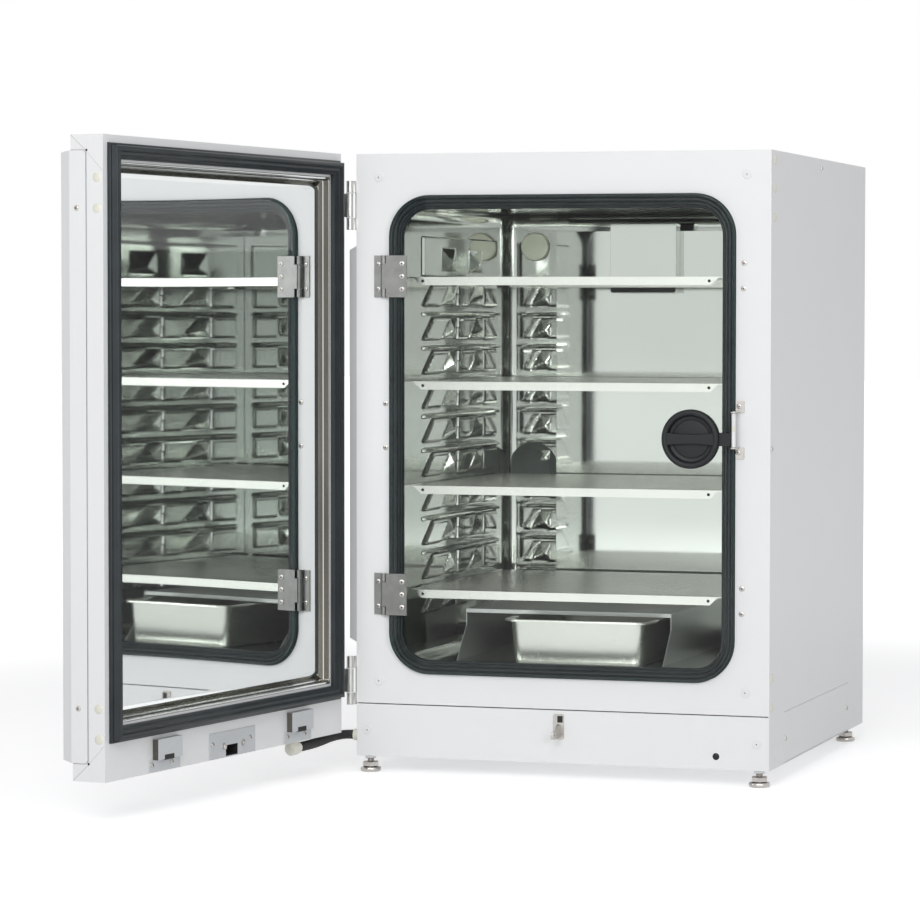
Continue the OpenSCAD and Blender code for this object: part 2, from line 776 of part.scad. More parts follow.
module cabinet_screws() {
    color("silver") {
        for (p = concat(frame_screws_right, frame_screws_left)) screw(p[0], p[1], 0);
        for (p = keeper_screws) screw(p[0], p[1], -leaf_t);
        for (z = leaf_z, s = [-1, 1]) screw(leaf_screw_x, z + s * leaf_screw_rise, -leaf_t);
        for (p = side_screw_spots) {
            side_peg(p[0], p[1], screw_r, half_w, half_w + 1.4);
            side_peg(p[0], p[1], shank_r, half_w - sheet_t, half_w + 1);
        }
        for (p = panel_screw_spots) side_peg(p[0], p[1], screw_r, half_w, half_w + 1.4);
    }
}

cap_r = 7;
cap_rise = 1.2;
cap_spots = [[-275, body_h - 34], [275, body_h - 34], [-275, 110.5], [275, 110.5], [-293, 38], [292, 38]];

// Domed plug in the right side
module side_plug(d, h, r, rise) {
    side_peg(d, h, r, half_w, half_w + rise);
    side_peg(d, h, r - 1.5, half_w + rise - 1, half_w + rise + 1);
    side_peg(d, h, r - 2, half_w - sheet_t + hair, half_w + 1);
}

module caps_and_plugs() {
    color("beige") {
        for (p = cap_spots) union() {
            peg(p[0], p[1], cap_r, -cap_rise, 0);
            peg(p[0], p[1], cap_r - 3, -cap_rise - 0.8, -cap_rise);
        }
        for (p = side_plug_spots) side_plug(p[0], p[1], side_plug_r, 1.6);
        side_plug(round_plug[0], round_plug[1], round_plug_r, 0.8);
        peg(panel_plug[0], panel_plug[1], panel_plug_r, -cap_rise, 0);
        peg(panel_plug[0], panel_plug[1], panel_plug_r - 1 - hair, -1, 4);
    }
}

module service_panel() {
    inner = half_w - sheet_t;
    color("white") union() {
        slab(inner, half_w, side_panel_d[0] + slack, side_panel_d[1] - slack, side_panel_h[0] + slack, side_panel_h[1] - slack);
        slab(inner - sheet_t, inner, side_panel_d[0] - 8, side_panel_d[1] + 8, 2 * sheet_t + hair, side_panel_h[1] + 6);
    }
}

module strike() {
    color("silver") difference() {
        union() {
            slab(strike_x - strike_half, strike_x + strike_half, -2, 0, strike_z[0], strike_z[1]);
            slab(strike_x - 2, strike_x + 2, -strike_reach, -1, bolt_z - 5, bolt_z + 5);
        }
        side_peg(-door_gap - bolt_t, bolt_z, bolt_r + 0.7, strike_x - 5, strike_x + 5);
    }
}

// --- Outer door hinges -----------------------------------------------------------------

web_half = 2;

// A bored barrel of an outer door hinge
module knuckle(h0, h1) {
    post(hinge_x, hinge_d, barrel_r, h0, h1);
}

module hinge_bore() {
    for (z = hinge_z) post(hinge_x, hinge_d, pin_r + fit, z - 1, z + hinge_h + 1);
}

module outer_hinge_cabinet_halves() {
    x1 = -half_w;
    color("silver") difference() {
        for (z = hinge_z) union() {
            slab(x1 - hinge_leaf_t, x1, 3, 34, z, z + hinge_h);
            for (h = [z, z + hinge_h - knuckle_h]) {
                knuckle(h, h + knuckle_h);
                slab(hinge_x, x1, hinge_d, hinge_d + web_half + 1, h, h + knuckle_h);
                slab(x1 - hinge_leaf_t, x1, hinge_d, 4, h, h + knuckle_h);
            }
        }
        hinge_bore();
    }
}

module outer_hinge_door_leaves() {
    x1 = -half_w;
    y0 = -door_gap;
    color("silver") door_pose() difference() {
        for (z = hinge_z) union() {
            slab(x1 - hinge_leaf_t, x1, y0 - 34, y0 - 2, z, z + hinge_h);
            knuckle(z + knuckle_h + knuckle_gap, z + hinge_h - knuckle_h - knuckle_gap);
            slab(hinge_x, x1 - hinge_leaf_t + 0.5, y0 - 4, hinge_d, z + knuckle_h + knuckle_gap,
                z + hinge_h - knuckle_h - knuckle_gap);
        }
        hinge_bore();
    }
}

rail_z = [172, 738];
rail_t = 11;
rail_d = [1, 12];
rail_bevel = 6;

// Rubber strip with bevelled ends on the hinge side, between the two hinges
module hinge_side_rail() {
    reach = -half_w - rail_t;
    color("black") plate(rail_d[0], rail_d[1]) polygon([[-half_w, rail_z[0] - rail_bevel],
        [reach, rail_z[0]], [reach, rail_z[1]], [-half_w, rail_z[1] + rail_bevel]]);
}

// --- Outer door ------------------------------------------------------------------------

module door_inner_frame() {
    color("white") door_pose() difference() {
        door_slab(-half_w, half_w, 0, inner_t, door_z, body_h);
        door_slab(-half_w + sheet_t, half_w - sheet_t, sheet_t, inner_t + 1, door_z + sheet_t, body_h - sheet_t);
        door_slab(-liner_x - slack, liner_x + slack, -1, inner_t, liner_z0 - slack, liner_z1 + slack);
        door_slab(lock_x[0], lock_x[1], -1, sheet_t + 1, lock_z[0], lock_z[1]);
    }
}

module door_outer_shell() {
    t0 = inner_t + hair;
    color("white") door_pose() difference() {
        door_slab(-half_w, half_w, t0, door_t, door_z, body_h);
        door_slab(-half_w + sheet_t, half_w - sheet_t, t0 - 1, door_t - sheet_t, door_z + sheet_t, body_h - sheet_t);
    }
}

module door_insulation() {
    edge = half_w - sheet_t - seat;
    color("khaki") door_pose() difference() {
        door_slab(-edge, edge, sheet_t + seat, door_t - sheet_t - seat, gasket_z0 - 2, body_h - sheet_t - seat);
        door_slab(-liner_x - liner_t - seat, liner_x + liner_t + seat, 0, liner_depth + liner_t + seat,
            liner_z0 - liner_t - seat, liner_z1 + liner_t + seat);
    }
}

// Polished tray: its floor is the mirror that faces the chamber
module door_liner() {
    color("silver") door_pose() difference() {
        door_slab(-liner_x, liner_x, 0, liner_depth + liner_t, liner_z0, liner_z1);
        door_slab(-liner_x + liner_t, liner_x - liner_t, -1, liner_depth, liner_z0 + liner_t, liner_z1 - liner_t);
    }
}

module door_gasket() {
    inner_x = gasket_x - gasket_w;
    inner_z = [gasket_z0 + gasket_w + 3, gasket_z1 - gasket_w - 3];
    color("darkslategray") door_pose() difference() {
        union() {
            door_slab(-gasket_x, gasket_x, -gasket_base, 0, gasket_z0, gasket_z1);
            door_slab(-gasket_x + 3, gasket_x - 3, -gasket_seal, -gasket_base + 1, gasket_z0 + 3, gasket_z1 - 3);
        }
        door_slab(-inner_x, inner_x, -gasket_seal - 1, 1, inner_z[0], inner_z[1]);
        door_slab(-inner_x - 5, inner_x + 5, -gasket_seal - 1, -gasket_base, inner_z[0] - 5, inner_z[1] + 5);
    }
}

panel_x = [-110, 110];
panel_z = [700, 790];

// Raised cover: its free side slants back and its flange wraps over the door's free edge.
// A grip for the fingers is sunk into its face.
module door_front_cover() {
    wall = 2;
    t1 = door_t + cover_t;
    color("white") door_pose() difference() {
        union() {
            hull() {
                door_slab(-cover_x, flange_x, door_t, door_t + 1, cover_z0, cover_z1);
                door_slab(-cover_x, cover_x, t1 - 1, t1, cover_z0 + wall, cover_z1 - wall);
            }
            hull() {
                for (h = [cover_z0 + flange_r, cover_z1 - flange_r])
                    side_peg(-door_gap - inner_t - 1 - flange_r, h, flange_r, half_w + hair, flange_x);
                door_slab(half_w + hair, flange_x, door_t, door_t + 1, cover_z0, cover_z1);
            }
        }
        difference() {
            door_slab(-cover_x + wall, cover_x - wall, door_t - 1, t1 - wall, cover_z0 + 2 * wall, cover_z1 - 2 * wall);
            door_slab(grip_x[0] - wall, grip_x[1] + wall, t1 - grip_depth - wall, t1, grip_z[0] - wall, grip_z[1] + wall);
        }
        door_slab(grip_x[0], grip_x[1], t1 - grip_depth, t1 + 1, grip_z[0], grip_z[1]);
        door_slab(panel_x[0], panel_x[1], door_t + 1, t1 + 1, panel_z[0], panel_z[1]);
    }
}

module control_panel() {
    color("gray") door_pose() difference() {
        union() {
            door_slab(panel_x[0] + slack, panel_x[1] - slack, door_t + hair, door_t + cover_t, panel_z[0] + slack, panel_z[1] - slack);
            door_slab(panel_x[0] - 4, panel_x[1] + 4, door_t + cover_t, door_t + cover_t + 2, panel_z[0] - 4, panel_z[1] + 4);
        }
        door_slab(panel_x[0] + 50, panel_x[1] - 50, door_t + cover_t + 1, door_t + cover_t + 3, panel_z[0] + 18, panel_z[1] - 12);
    }
}

catch_x = [516 - half_w, 166 - half_w];
catch_screw_in = [[7, 55], [10, 57.5]];
catch_w = 76;
catch_box_w = 60;
catch_plate_t = 1.5;
catch_reach = 9;

// Two screwed catches below the gasket, each a plate with a slotted box
module door_catches() {
    color("white") door_pose() for (i = [0, 1]) {
        x1 = catch_x[i];
        x0 = x1 - catch_w;
        difference() {
            union() {
                door_slab(x0, x1, -catch_plate_t, 0, catch_z[0], catch_z[1]);
                door_slab(x0 + 6, x0 + 6 + catch_box_w, -catch_reach, 0, catch_z[1], catch_z[2]);
            }
            door_slab(x0 + 26, x0 + 50, -catch_reach - 1, -catch_reach + 5, catch_z[1] - 1, catch_z[1] + 6);
        }
    }
}

// Lock in the middle of the lower edge: the strike enters its window and the bolt crosses it
module lock_case() {
    color("white") door_pose() difference() {
        union() {
            door_slab(lock_x[0] - 3, lock_x[1] + 3, -catch_plate_t, 0, lock_z[0] - 1, lock_z[1] + 1.5);
            door_slab(lock_x[0] + slack, lock_x[1] - slack, -1, inner_t - 1, lock_z[0] + slack, lock_z[1] - slack);
        }
        door_slab(window_x[0], window_x[1], -3, 21, window_z[0], window_z[1]);
        side_peg(-door_gap - bolt_t, bolt_z, bolt_r + fit, window_x[1] - 1, lock_x[1] - 4);
    }
}

module lock_bolt() {
    color("silver") door_pose()
        side_peg(-door_gap - bolt_t, bolt_z, bolt_r, bolt_tip, bolt_tip + 28);
}

edge_plug_z = [body_h - 56, body_h - 96, 130, 90];
edge_screw_z = [body_h - 95.5, 129.5];
lock_screws = [[lock_x[0] + 11, door_z + 21], [lock_x[1] - 5, door_z + 21]];
lock_nuts = [[lock_x[0] + 30, door_z + 16], [lock_x[1] - 34, door_z + 16]];

// Plugs and screws of the outer door: free edge, catches and lock
module door_fasteners() {
    y0 = -door_gap;
    color("beige") door_pose() {
        for (h = edge_plug_z) side_peg(y0 - 9.2, h, side_plug_r - 0.5, half_w, half_w + 1.6);
        for (h = edge_screw_z) side_peg(y0 - 40, h, screw_r, flange_x, flange_x + 1.4);
        for (i = [0, 1], inset = catch_screw_in[i])
            peg(catch_x[i] - inset, door_z + 10.5, screw_r, y0 + catch_plate_t, y0 + catch_plate_t + 1.4);
        for (p = lock_screws) peg(p[0], p[1], screw_r, y0 + catch_plate_t, y0 + catch_plate_t + 1.4);
        for (p = lock_nuts) peg(p[0], p[1], screw_r - 0.5, y0 + catch_plate_t, y0 + catch_plate_t + 3);
    }
}

// --- Conduit from the cabinet to the door ----------------------------------------------

module conduit_grommet() {
    color("beige") union() {
        side_peg(grommet_at[1], grommet_at[2], grommet_r, grommet_at[0], -half_w);
        side_peg(grommet_at[1], grommet_at[2], grommet_r - 1.5 - hair, -half_w - 1, sheet_t - hair - half_w);
    }
}

// Gland under the door's lower edge: a riser from the door and a collar that the conduit enters
module conduit_gland() {
    x = gland_s - half_w;
    d = -door_gap - gland_t;
    h = door_z - gland_drop;
    color("beige") door_pose() union() {
        side_peg(d, h, conduit_r + 3, x - 2, x + 9);
        side_peg(d, h, conduit_r + 1.5, x - 10, x - 1);
        post(x + 3, d, conduit_r, h, door_z);
    }
}

// Route of the conduit: depth and height as elsewhere
conduit_path = [
    [-318.3, 12, 29], [-324, 12, 29], [-331, 10.5, 28.8], [-338, 6.5, 28.1], [-343.6, 0, 27.2], [-347, -9, 26.3],
    [-348.6, -20, 25.5], [-349.2, -34, 24.8], [-349.8, -50, 24.2], [-350.6, -68, 23.8], [-352.8, -91.5, 23.6],
    [-355.7, -109.4, 23.5], [-356.9, -116.7, 23.5]
];

// Tube swept along the route: a ring of points square to the route at each of its points
module conduit() {
    sides = 10;
    last = len(conduit_path) - 1;
    function unit(v) = v / norm(v);
    function heading(i) = unit(conduit_path[min(i + 1, last)] - conduit_path[max(i - 1, 0)]);
    function across(i) = unit(cross(heading(i), [0, 0, 1]));
    function place(p) = [p[0], fy(p[1]), bz(p[2])];
    points = [for (i = [0:last], k = [0:sides - 1])
        let (a = 360 * k / sides, u = across(i), v = cross(u, heading(i)))
            place(conduit_path[i]) + conduit_r * (cos(a) * u + sin(a) * v)];
    walls = [for (i = [0:last - 1], k = [0:sides - 1])
        let (a = i * sides + k, b = i * sides + (k + 1) % sides) [a, a + sides, b + sides, b]];
    caps = [[for (k = [0:sides - 1]) k], [for (k = [0:sides - 1]) last * sides + sides - 1 - k]];
    color("black") polyhedron(points = points, faces = concat(walls, caps));
}

// --- Rear ------------------------------------------------------------------------------

module gas_inlet() {
    color("goldenrod") difference() {
        union() {
            peg(gas_x, gas_z, 5, chamber_back, cab_d + 12);
            peg(gas_x, gas_z, 9, cab_d, cab_d + 6);
            peg(gas_x, gas_z, 3, cab_d + 10, cab_d + 34);
        }
        peg(gas_x, gas_z, 1.8, chamber_back - 1, cab_d + 40);
    }
}

module power_inlet() {
    x0 = inlet_x[0] + slack;
    x1 = inlet_x[1] - slack;
    z0 = inlet_z[0] + slack;
    z1 = inlet_z[1] - slack;
    color("black") difference() {
        union() {
            slab(x0, x1, cab_d - 25, cab_d + 1, z0, z1);
            slab(x0 - 5, x1 + 5, cab_d, cab_d + 3, z0 - 3, z1 + 3);
        }
        slab(x0 + 10, x1 - 10, cab_d - 16, cab_d + 5, z0 + 6, z1 - 6);
    }
}

module rear_spacers() {
    color("white") for (s = [-1, 1]) {
        x0 = s < 0 ? -half_w + 4 : half_w - 24;
        difference() {
            slab(x0, x0 + 20, cab_d, cab_d + 16, spacer_z[0], spacer_z[1]);
            slab(x0 + sheet_t, x0 + 20 - sheet_t, cab_d + sheet_t, cab_d + 14, spacer_z[0] - 1, spacer_z[1] + 1);
        }
    }
}

cabinet_shell();
base_pan();
back_panel();
front_frame();
lower_front_panel();
insulation();
chamber_liner();
shelf_rests();
duct_cover();
fan_housing();
fan_motor();
sensor_disc();
access_port_tube();
pan_cover();
chamber_gasket();
glass_hinge_frame_leaves();
hinge_pins();
keeper_bracket();
keeper_roller();
strike();
cabinet_screws();
caps_and_plugs();
service_panel();
outer_hinge_cabinet_halves();
hinge_side_rail();
conduit_grommet();
conduit();
gas_inlet();
power_inlet();
rear_spacers();
foot(-foot_x, foot_front);  // foot_front_left
foot(foot_x, foot_front);  // foot_front_right
foot(-foot_x, foot_rear);  // foot_rear_left
foot(foot_x, foot_rear);  // foot_rear_right
fan_impeller();
port_plug_inner();
port_plug_outer();
shelf(0);  // shelf_1
shelf(1);  // shelf_2
shelf(2);  // shelf_3
shelf(3);  // shelf_4
humidity_pan();
glass_pane();
glass_hinge_door_leaves();
glass_leaf_screws();
knob_bush();
knob();
door_inner_frame();
door_outer_shell();
door_insulation();
door_liner();
door_gasket();
door_front_cover();
control_panel();
door_catches();
lock_case();
lock_bolt();
door_fasteners();
outer_hinge_door_leaves();
conduit_gland();
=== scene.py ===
"""Laboratory incubator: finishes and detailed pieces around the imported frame.

Lengths in the pieces' own code are millimetres in the cabinet's frame: x across, d the depth behind
the front face, h the height above the body's underside. place() turns them into the row frame.
"""

import json
import math

import bmesh
import bpy
import numpy as np
from mathutils import Matrix, Vector


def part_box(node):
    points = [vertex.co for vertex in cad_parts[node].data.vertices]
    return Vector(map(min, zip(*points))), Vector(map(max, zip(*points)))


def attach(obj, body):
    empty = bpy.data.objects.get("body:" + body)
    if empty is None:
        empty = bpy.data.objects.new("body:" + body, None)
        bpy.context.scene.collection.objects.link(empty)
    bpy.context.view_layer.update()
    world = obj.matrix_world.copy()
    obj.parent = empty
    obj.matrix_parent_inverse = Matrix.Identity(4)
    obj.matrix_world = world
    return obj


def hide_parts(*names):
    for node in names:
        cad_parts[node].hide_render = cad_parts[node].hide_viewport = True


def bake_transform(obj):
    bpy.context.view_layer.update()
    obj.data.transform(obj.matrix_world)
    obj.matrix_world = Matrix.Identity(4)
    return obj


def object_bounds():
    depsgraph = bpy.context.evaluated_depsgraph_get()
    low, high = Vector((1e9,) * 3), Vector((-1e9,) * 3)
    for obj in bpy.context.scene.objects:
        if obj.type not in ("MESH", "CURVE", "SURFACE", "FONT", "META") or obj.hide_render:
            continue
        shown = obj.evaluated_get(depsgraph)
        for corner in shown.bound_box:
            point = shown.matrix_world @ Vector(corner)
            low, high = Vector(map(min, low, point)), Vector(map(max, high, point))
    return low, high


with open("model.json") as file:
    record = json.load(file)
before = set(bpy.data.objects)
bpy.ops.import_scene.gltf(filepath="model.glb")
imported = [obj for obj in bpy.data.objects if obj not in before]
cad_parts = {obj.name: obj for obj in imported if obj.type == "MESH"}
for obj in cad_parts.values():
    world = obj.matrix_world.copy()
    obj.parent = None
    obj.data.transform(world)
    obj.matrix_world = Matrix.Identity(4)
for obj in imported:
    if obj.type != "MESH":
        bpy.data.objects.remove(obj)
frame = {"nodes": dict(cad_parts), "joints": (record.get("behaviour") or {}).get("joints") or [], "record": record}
cad_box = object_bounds()

MM = 0.001
FRONT_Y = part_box("front_frame")[0].y
BODY_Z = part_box("cabinet_shell")[0].z
BODY_OF = {n: b for b, names in frame["record"]["behaviour"]["bodies"].items() for n in names}
SLOT_OF = {s["node"]: s["material_slot"] for s in frame["record"]["subparts"]}
JOINTS = {j["name"]: j for j in frame["joints"]}

# Sizes that several pieces share. OPENING is width, height and corner radius, TRAY is half its width
# and its lowest and highest edge, LOCK is left, right, bottom and top of the lock's window. INNER is the
# depth of the closed outer door's inner face, and PANEL_FACE that of its control panel. LEDGE is the
# height of a row's ledge above the row's middle.
HALF_W = 310.0
BODY_H = 877.0
CHAMBER_X = 245.0
CHAMBER_FLOOR = 137.0
CHAMBER_TOP = 802.0
CHAMBER_BACK = 515.0
OPENING = (518.0, 694.0, 60.0)
OPENING_H = 469.5
INNER = -16.0
PANEL_FACE = INNER - 73.5
TRAY = (278.5, 109.0, 842.0)
LOCK = (-62.0, 52.0, 35.5, 69.0)
DOOR_LOW = 34.0
FLANGE_X = 311.4
ROW_TOP = 673.7
ROW_PITCH = 50.6
ROWS = 10
LEDGE = 22.0
LEAF_MIDDLES = (699.5, 238)
FRONT, REAR, RIGHT, UP = (0, -1, 0), (0, 1, 0), (1, 0, 0), (0, 0, 1)


def place(x, d, h):
    """A point of the cabinet's frame, in the row frame."""
    return Vector((x * MM, FRONT_Y + d * MM, BODY_Z + h * MM))


def box_mm(node):
    """A node's box at rest in the cabinet's frame: x0, x1, d0, d1, h0, h1."""
    low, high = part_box(node)
    return (low.x / MM, high.x / MM, (low.y - FRONT_Y) / MM, (high.y - FRONT_Y) / MM,
            (low.z - BODY_Z) / MM, (high.z - BODY_Z) / MM)


def door_swing():
    """Turns a piece drawn for the closed outer door into the open pose at rest."""
    hinge = JOINTS["outer_door_hinge"]
    centre = Vector(hinge["pos_m"])
    angle = math.radians(-hinge["range_deg"][0])
    turn = Matrix.Rotation(angle, 4, Vector(hinge["axis"]))
    return Matrix.Translation(centre) @ turn @ Matrix.Translation(-centre)


SWING = door_swing()

# ---- camera, light, floor


def make_camera():
    """The photograph's camera, fitted to the cabinet's corners."""
    yaw, pitch, roll = (math.radians(a) for a in (16.417, 2.379, 0.132))
    look = Vector((-math.sin(yaw) * math.cos(pitch), math.cos(yaw) * math.cos(pitch), -math.sin(pitch)))
    level = Vector((math.cos(yaw), math.sin(yaw), 0))
    right = level * math.cos(roll) + level.cross(look) * math.sin(roll)
    up = right.cross(look)
    data = bpy.data.cameras.new("camera")
    data.sensor_width = 36
    data.lens = 137.48
    data.shift_x = -0.1522
    data.clip_end = 100
    camera = bpy.data.objects.new("camera", data)
    turn = Matrix((right, up, -look)).transposed().to_4x4()
    camera.matrix_world = Matrix.Translation(place(1477.0, -4809.2, 645.7)) @ turn
    bpy.context.scene.collection.objects.link(camera)
    bpy.context.scene.camera = camera


def lamp(name, at, aim, size, power):
    """A rectangular lamp aimed at a point."""
    data = bpy.data.lights.new(name, "AREA")
    data.shape = "RECTANGLE"
    data.size, data.size_y = size
    data.energy = power
    obj = bpy.data.objects.new(name, data)
    turn = (Vector(aim) - Vector(at)).to_track_quat("-Z", "Y")
    obj.matrix_world = Matrix.Translation(at) @ turn.to_matrix().to_4x4()
    bpy.context.scene.collection.objects.link(obj)


def seen_rays(nodes, links):
    """A value that is 1 on camera, glossy and transmission rays."""
    path = nodes.new("ShaderNodeLightPath")
    total = path.outputs["Is Camera Ray"]
    for name in ("Is Glossy Ray", "Is Transmission Ray"):
        both = nodes.new("ShaderNodeMath")
        both.operation = "MAXIMUM"
        links.new(total, both.inputs[0])
        links.new(path.outputs[name], both.inputs[1])
        total = both.outputs[0]
    return total


def make_world(ambient=0.38):
    """Surroundings that look and mirror white but give less light."""
    world = bpy.data.worlds.new("studio")
    bpy.context.scene.world = world
    world.use_nodes = True
    nodes, links = world.node_tree.nodes, world.node_tree.links
    nodes.clear()
    soft, white = nodes.new("ShaderNodeBackground"), nodes.new("ShaderNodeBackground")
    soft.inputs["Strength"].default_value = ambient
    soft.inputs["Color"].default_value = (0.97, 0.985, 1, 1)
    white.inputs["Color"].default_value = (1, 1, 1, 1)
    mix, out = nodes.new("ShaderNodeMixShader"), nodes.new("ShaderNodeOutputWorld")
    links.new(seen_rays(nodes, links), mix.inputs[0])
    links.new(soft.outputs[0], mix.inputs[1])
    links.new(white.outputs[0], mix.inputs[2])
    links.new(mix.outputs[0], out.inputs[0])


def make_floor(reach=30.0, lift=0.46, near=1.2, far=3.2):
    """White floor that keeps the object's shadow and fades into the white surroundings."""
    bpy.ops.mesh.primitive_plane_add(size=2 * reach, location=(0, 0, cad_box[0][2]))
    floor = bpy.context.object
    floor.name = "floor"
    mat = bpy.data.materials.new("floor_white")
    mat.use_nodes = True
    nodes, links = mat.node_tree.nodes, mat.node_tree.links
    nodes.clear()
    diffuse, glow = nodes.new("ShaderNodeBsdfDiffuse"), nodes.new("ShaderNodeEmission")
    diffuse.inputs["Color"].default_value = (0.9, 0.9, 0.9, 1)
    coords, length = nodes.new("ShaderNodeTexCoord"), nodes.new("ShaderNodeVectorMath")
    length.operation = "LENGTH"
    links.new(coords.outputs["Object"], length.inputs[0])
    fade = nodes.new("ShaderNodeMapRange")
    fade.interpolation_type = "SMOOTHSTEP"
    for key, value in (("From Min", near), ("From Max", far), ("To Min", lift), ("To Max", 0.86)):
        fade.inputs[key].default_value = value
    links.new(length.outputs["Value"], fade.inputs["Value"])
    scale = nodes.new("ShaderNodeMath")
    scale.operation = "MULTIPLY"
    links.new(fade.outputs[0], scale.inputs[1])
    links.new(seen_rays(nodes, links), scale.inputs[0])
    links.new(scale.outputs[0], glow.inputs["Strength"])
    both, out = nodes.new("ShaderNodeAddShader"), nodes.new("ShaderNodeOutputMaterial")
    links.new(diffuse.outputs[0], both.inputs[0])
    links.new(glow.outputs[0], both.inputs[1])
    links.new(both.outputs[0], out.inputs[0])
    floor.data.materials.append(mat)


make_camera()
make_world()
make_floor()
lamp("key", (0.3, -4.4, 2.3), (0, 0, 0.4), (2.4, 1.8), 68)
lamp("right", (3.0, -4.1, 1.5), (0, 0, 0.5), (1.6, 1.3), 34)
lamp("top", (0.3, -0.6, 3.4), (0, 0, 0.5), (2.5, 2.5), 13)
bpy.context.scene.view_settings.view_transform = "Standard"

# ---- materials


def finish(name, colour, metallic=0.0, roughness=0.5, tint=0.03, tint_scale=6.0, bump=0.0, bump_scale=400.0,
           stretch=(1, 1, 1), rough_spread=0.08, **sockets):
    """Principled finish with procedural variation of colour, roughness and relief."""
    mat = bpy.data.materials.new(name)
    mat.use_nodes = True
    nodes, links = mat.node_tree.nodes, mat.node_tree.links
    shader = nodes["Principled BSDF"]
    shader.inputs["Metallic"].default_value = metallic
    for key, value in sockets.items():
        shader.inputs[key.replace("_", " ")].default_value = value
    coords, mapping = nodes.new("ShaderNodeTexCoord"), nodes.new("ShaderNodeMapping")
    mapping.inputs["Scale"].default_value = stretch
    links.new(coords.outputs["Object"], mapping.inputs["Vector"])

    def noise(scale, detail):
        tex = nodes.new("ShaderNodeTexNoise")
        tex.inputs["Scale"].default_value = scale
        tex.inputs["Detail"].default_value = detail
        links.new(mapping.outputs[0], tex.inputs["Vector"])
        return tex.outputs["Fac"]

    ramp = nodes.new("ShaderNodeValToRGB")
    ramp.color_ramp.elements[0].position, ramp.color_ramp.elements[1].position = 0.3, 0.7
    ramp.color_ramp.elements[0].color = [c * (1 - tint) for c in colour[:3]] + [1]
    ramp.color_ramp.elements[1].color = [min(1, c * (1 + tint)) for c in colour[:3]] + [1]
    links.new(noise(tint_scale, 3), ramp.inputs[0])
    links.new(ramp.outputs[0], shader.inputs["Base Color"])
    spread = nodes.new("ShaderNodeMapRange")
    spread.inputs["To Min"].default_value = max(0.01, roughness - rough_spread / 2)
    spread.inputs["To Max"].default_value = min(1, roughness + rough_spread / 2)
    fine = noise(bump_scale, 2)
    links.new(fine, spread.inputs["Value"])
    links.new(spread.outputs[0], shader.inputs["Roughness"])
    if bump:
        relief = nodes.new("ShaderNodeBump")
        relief.inputs["Strength"].default_value = bump
        relief.inputs["Distance"].default_value = 0.0004
        links.new(fine, relief.inputs["Height"])
        links.new(relief.outputs[0], shader.inputs["Normal"])
    return mat


def clear_glass():
    """Clear tempered glass: it lets light through, and only the outer side of its faces has gloss."""
    mat = bpy.data.materials.new("clear_glass")
    mat.use_nodes = True
    nodes, links = mat.node_tree.nodes, mat.node_tree.links
    nodes.clear()
    through, gloss = nodes.new("ShaderNodeBsdfTransparent"), nodes.new("ShaderNodeBsdfGlossy")
    through.inputs["Color"].default_value = (0.965, 0.975, 0.97, 1)
    gloss.inputs["Roughness"].default_value = 0.01
    fresnel, mix = nodes.new("ShaderNodeFresnel"), nodes.new("ShaderNodeMixShader")
    fresnel.inputs["IOR"].default_value = 1.3
    side, outer = nodes.new("ShaderNodeNewGeometry"), nodes.new("ShaderNodeMath")
    outer.operation = "SUBTRACT"
    outer.use_clamp = True
    links.new(fresnel.outputs[0], outer.inputs[0])
    links.new(side.outputs["Backfacing"], outer.inputs[1])
    out = nodes.new("ShaderNodeOutputMaterial")
    links.new(outer.outputs[0], mix.inputs[0])
    links.new(through.outputs[0], mix.inputs[1])
    links.new(gloss.outputs[0], mix.inputs[2])
    links.new(mix.outputs[0], out.inputs[0])
    return mat


def finishes(table):
    """Makes a table's finishes."""
    return {name: finish(name, **values) for name, values in table.items()}


# The record's finishes, by material slot
FINISH = finishes({
    "white_paint": dict(colour=(0.86, 0.865, 0.87), roughness=0.38, tint=0.006, bump=0.1, bump_scale=900),
    "zinc_plate": dict(colour=(0.6, 0.61, 0.62), metallic=1, roughness=0.4, tint=0.12, tint_scale=30,
                       bump=0.1),
    "stainless": dict(colour=(0.58, 0.6, 0.57), metallic=0.92, roughness=0.085, tint_scale=9,
                      rough_spread=0.04),
    "foam": dict(colour=(0.8, 0.74, 0.56), roughness=0.9, bump=0.4),
    "mirror_steel": dict(colour=(0.84, 0.86, 0.855), metallic=1, roughness=0.025, tint=0.01,
                         rough_spread=0.02),
    "gasket_rubber": dict(colour=(0.022, 0.028, 0.031), roughness=0.36, tint=0.2, tint_scale=20, bump=0.08,
                          Specular_IOR_Level=0.3),
    "hinge_steel": dict(colour=(0.52, 0.52, 0.505), metallic=1, roughness=0.33, tint=0.08, tint_scale=60,
                        bump=0.35, bump_scale=700),
    "nickel": dict(colour=(0.5, 0.48, 0.455), metallic=1, roughness=0.28, tint=0.06, tint_scale=60),
    "cream_plastic": dict(colour=(0.8, 0.785, 0.69), roughness=0.4, bump=0.05),
    "white_plastic": dict(colour=(0.83, 0.84, 0.85), roughness=0.35, tint=0.01, bump=0.06),
    "black_plastic": dict(colour=(0.014, 0.0155, 0.018), roughness=0.45, tint=0.15, bump=0.2,
                          bump_scale=1500, Specular_IOR_Level=0.3),
    "black_rubber": dict(colour=(0.012, 0.012, 0.013), tint=0.2, bump=0.15),
    "brass": dict(colour=(0.7, 0.52, 0.25), metallic=1, roughness=0.28, tint=0.06, tint_scale=40),
})
FINISH["clear_glass"] = clear_glass()
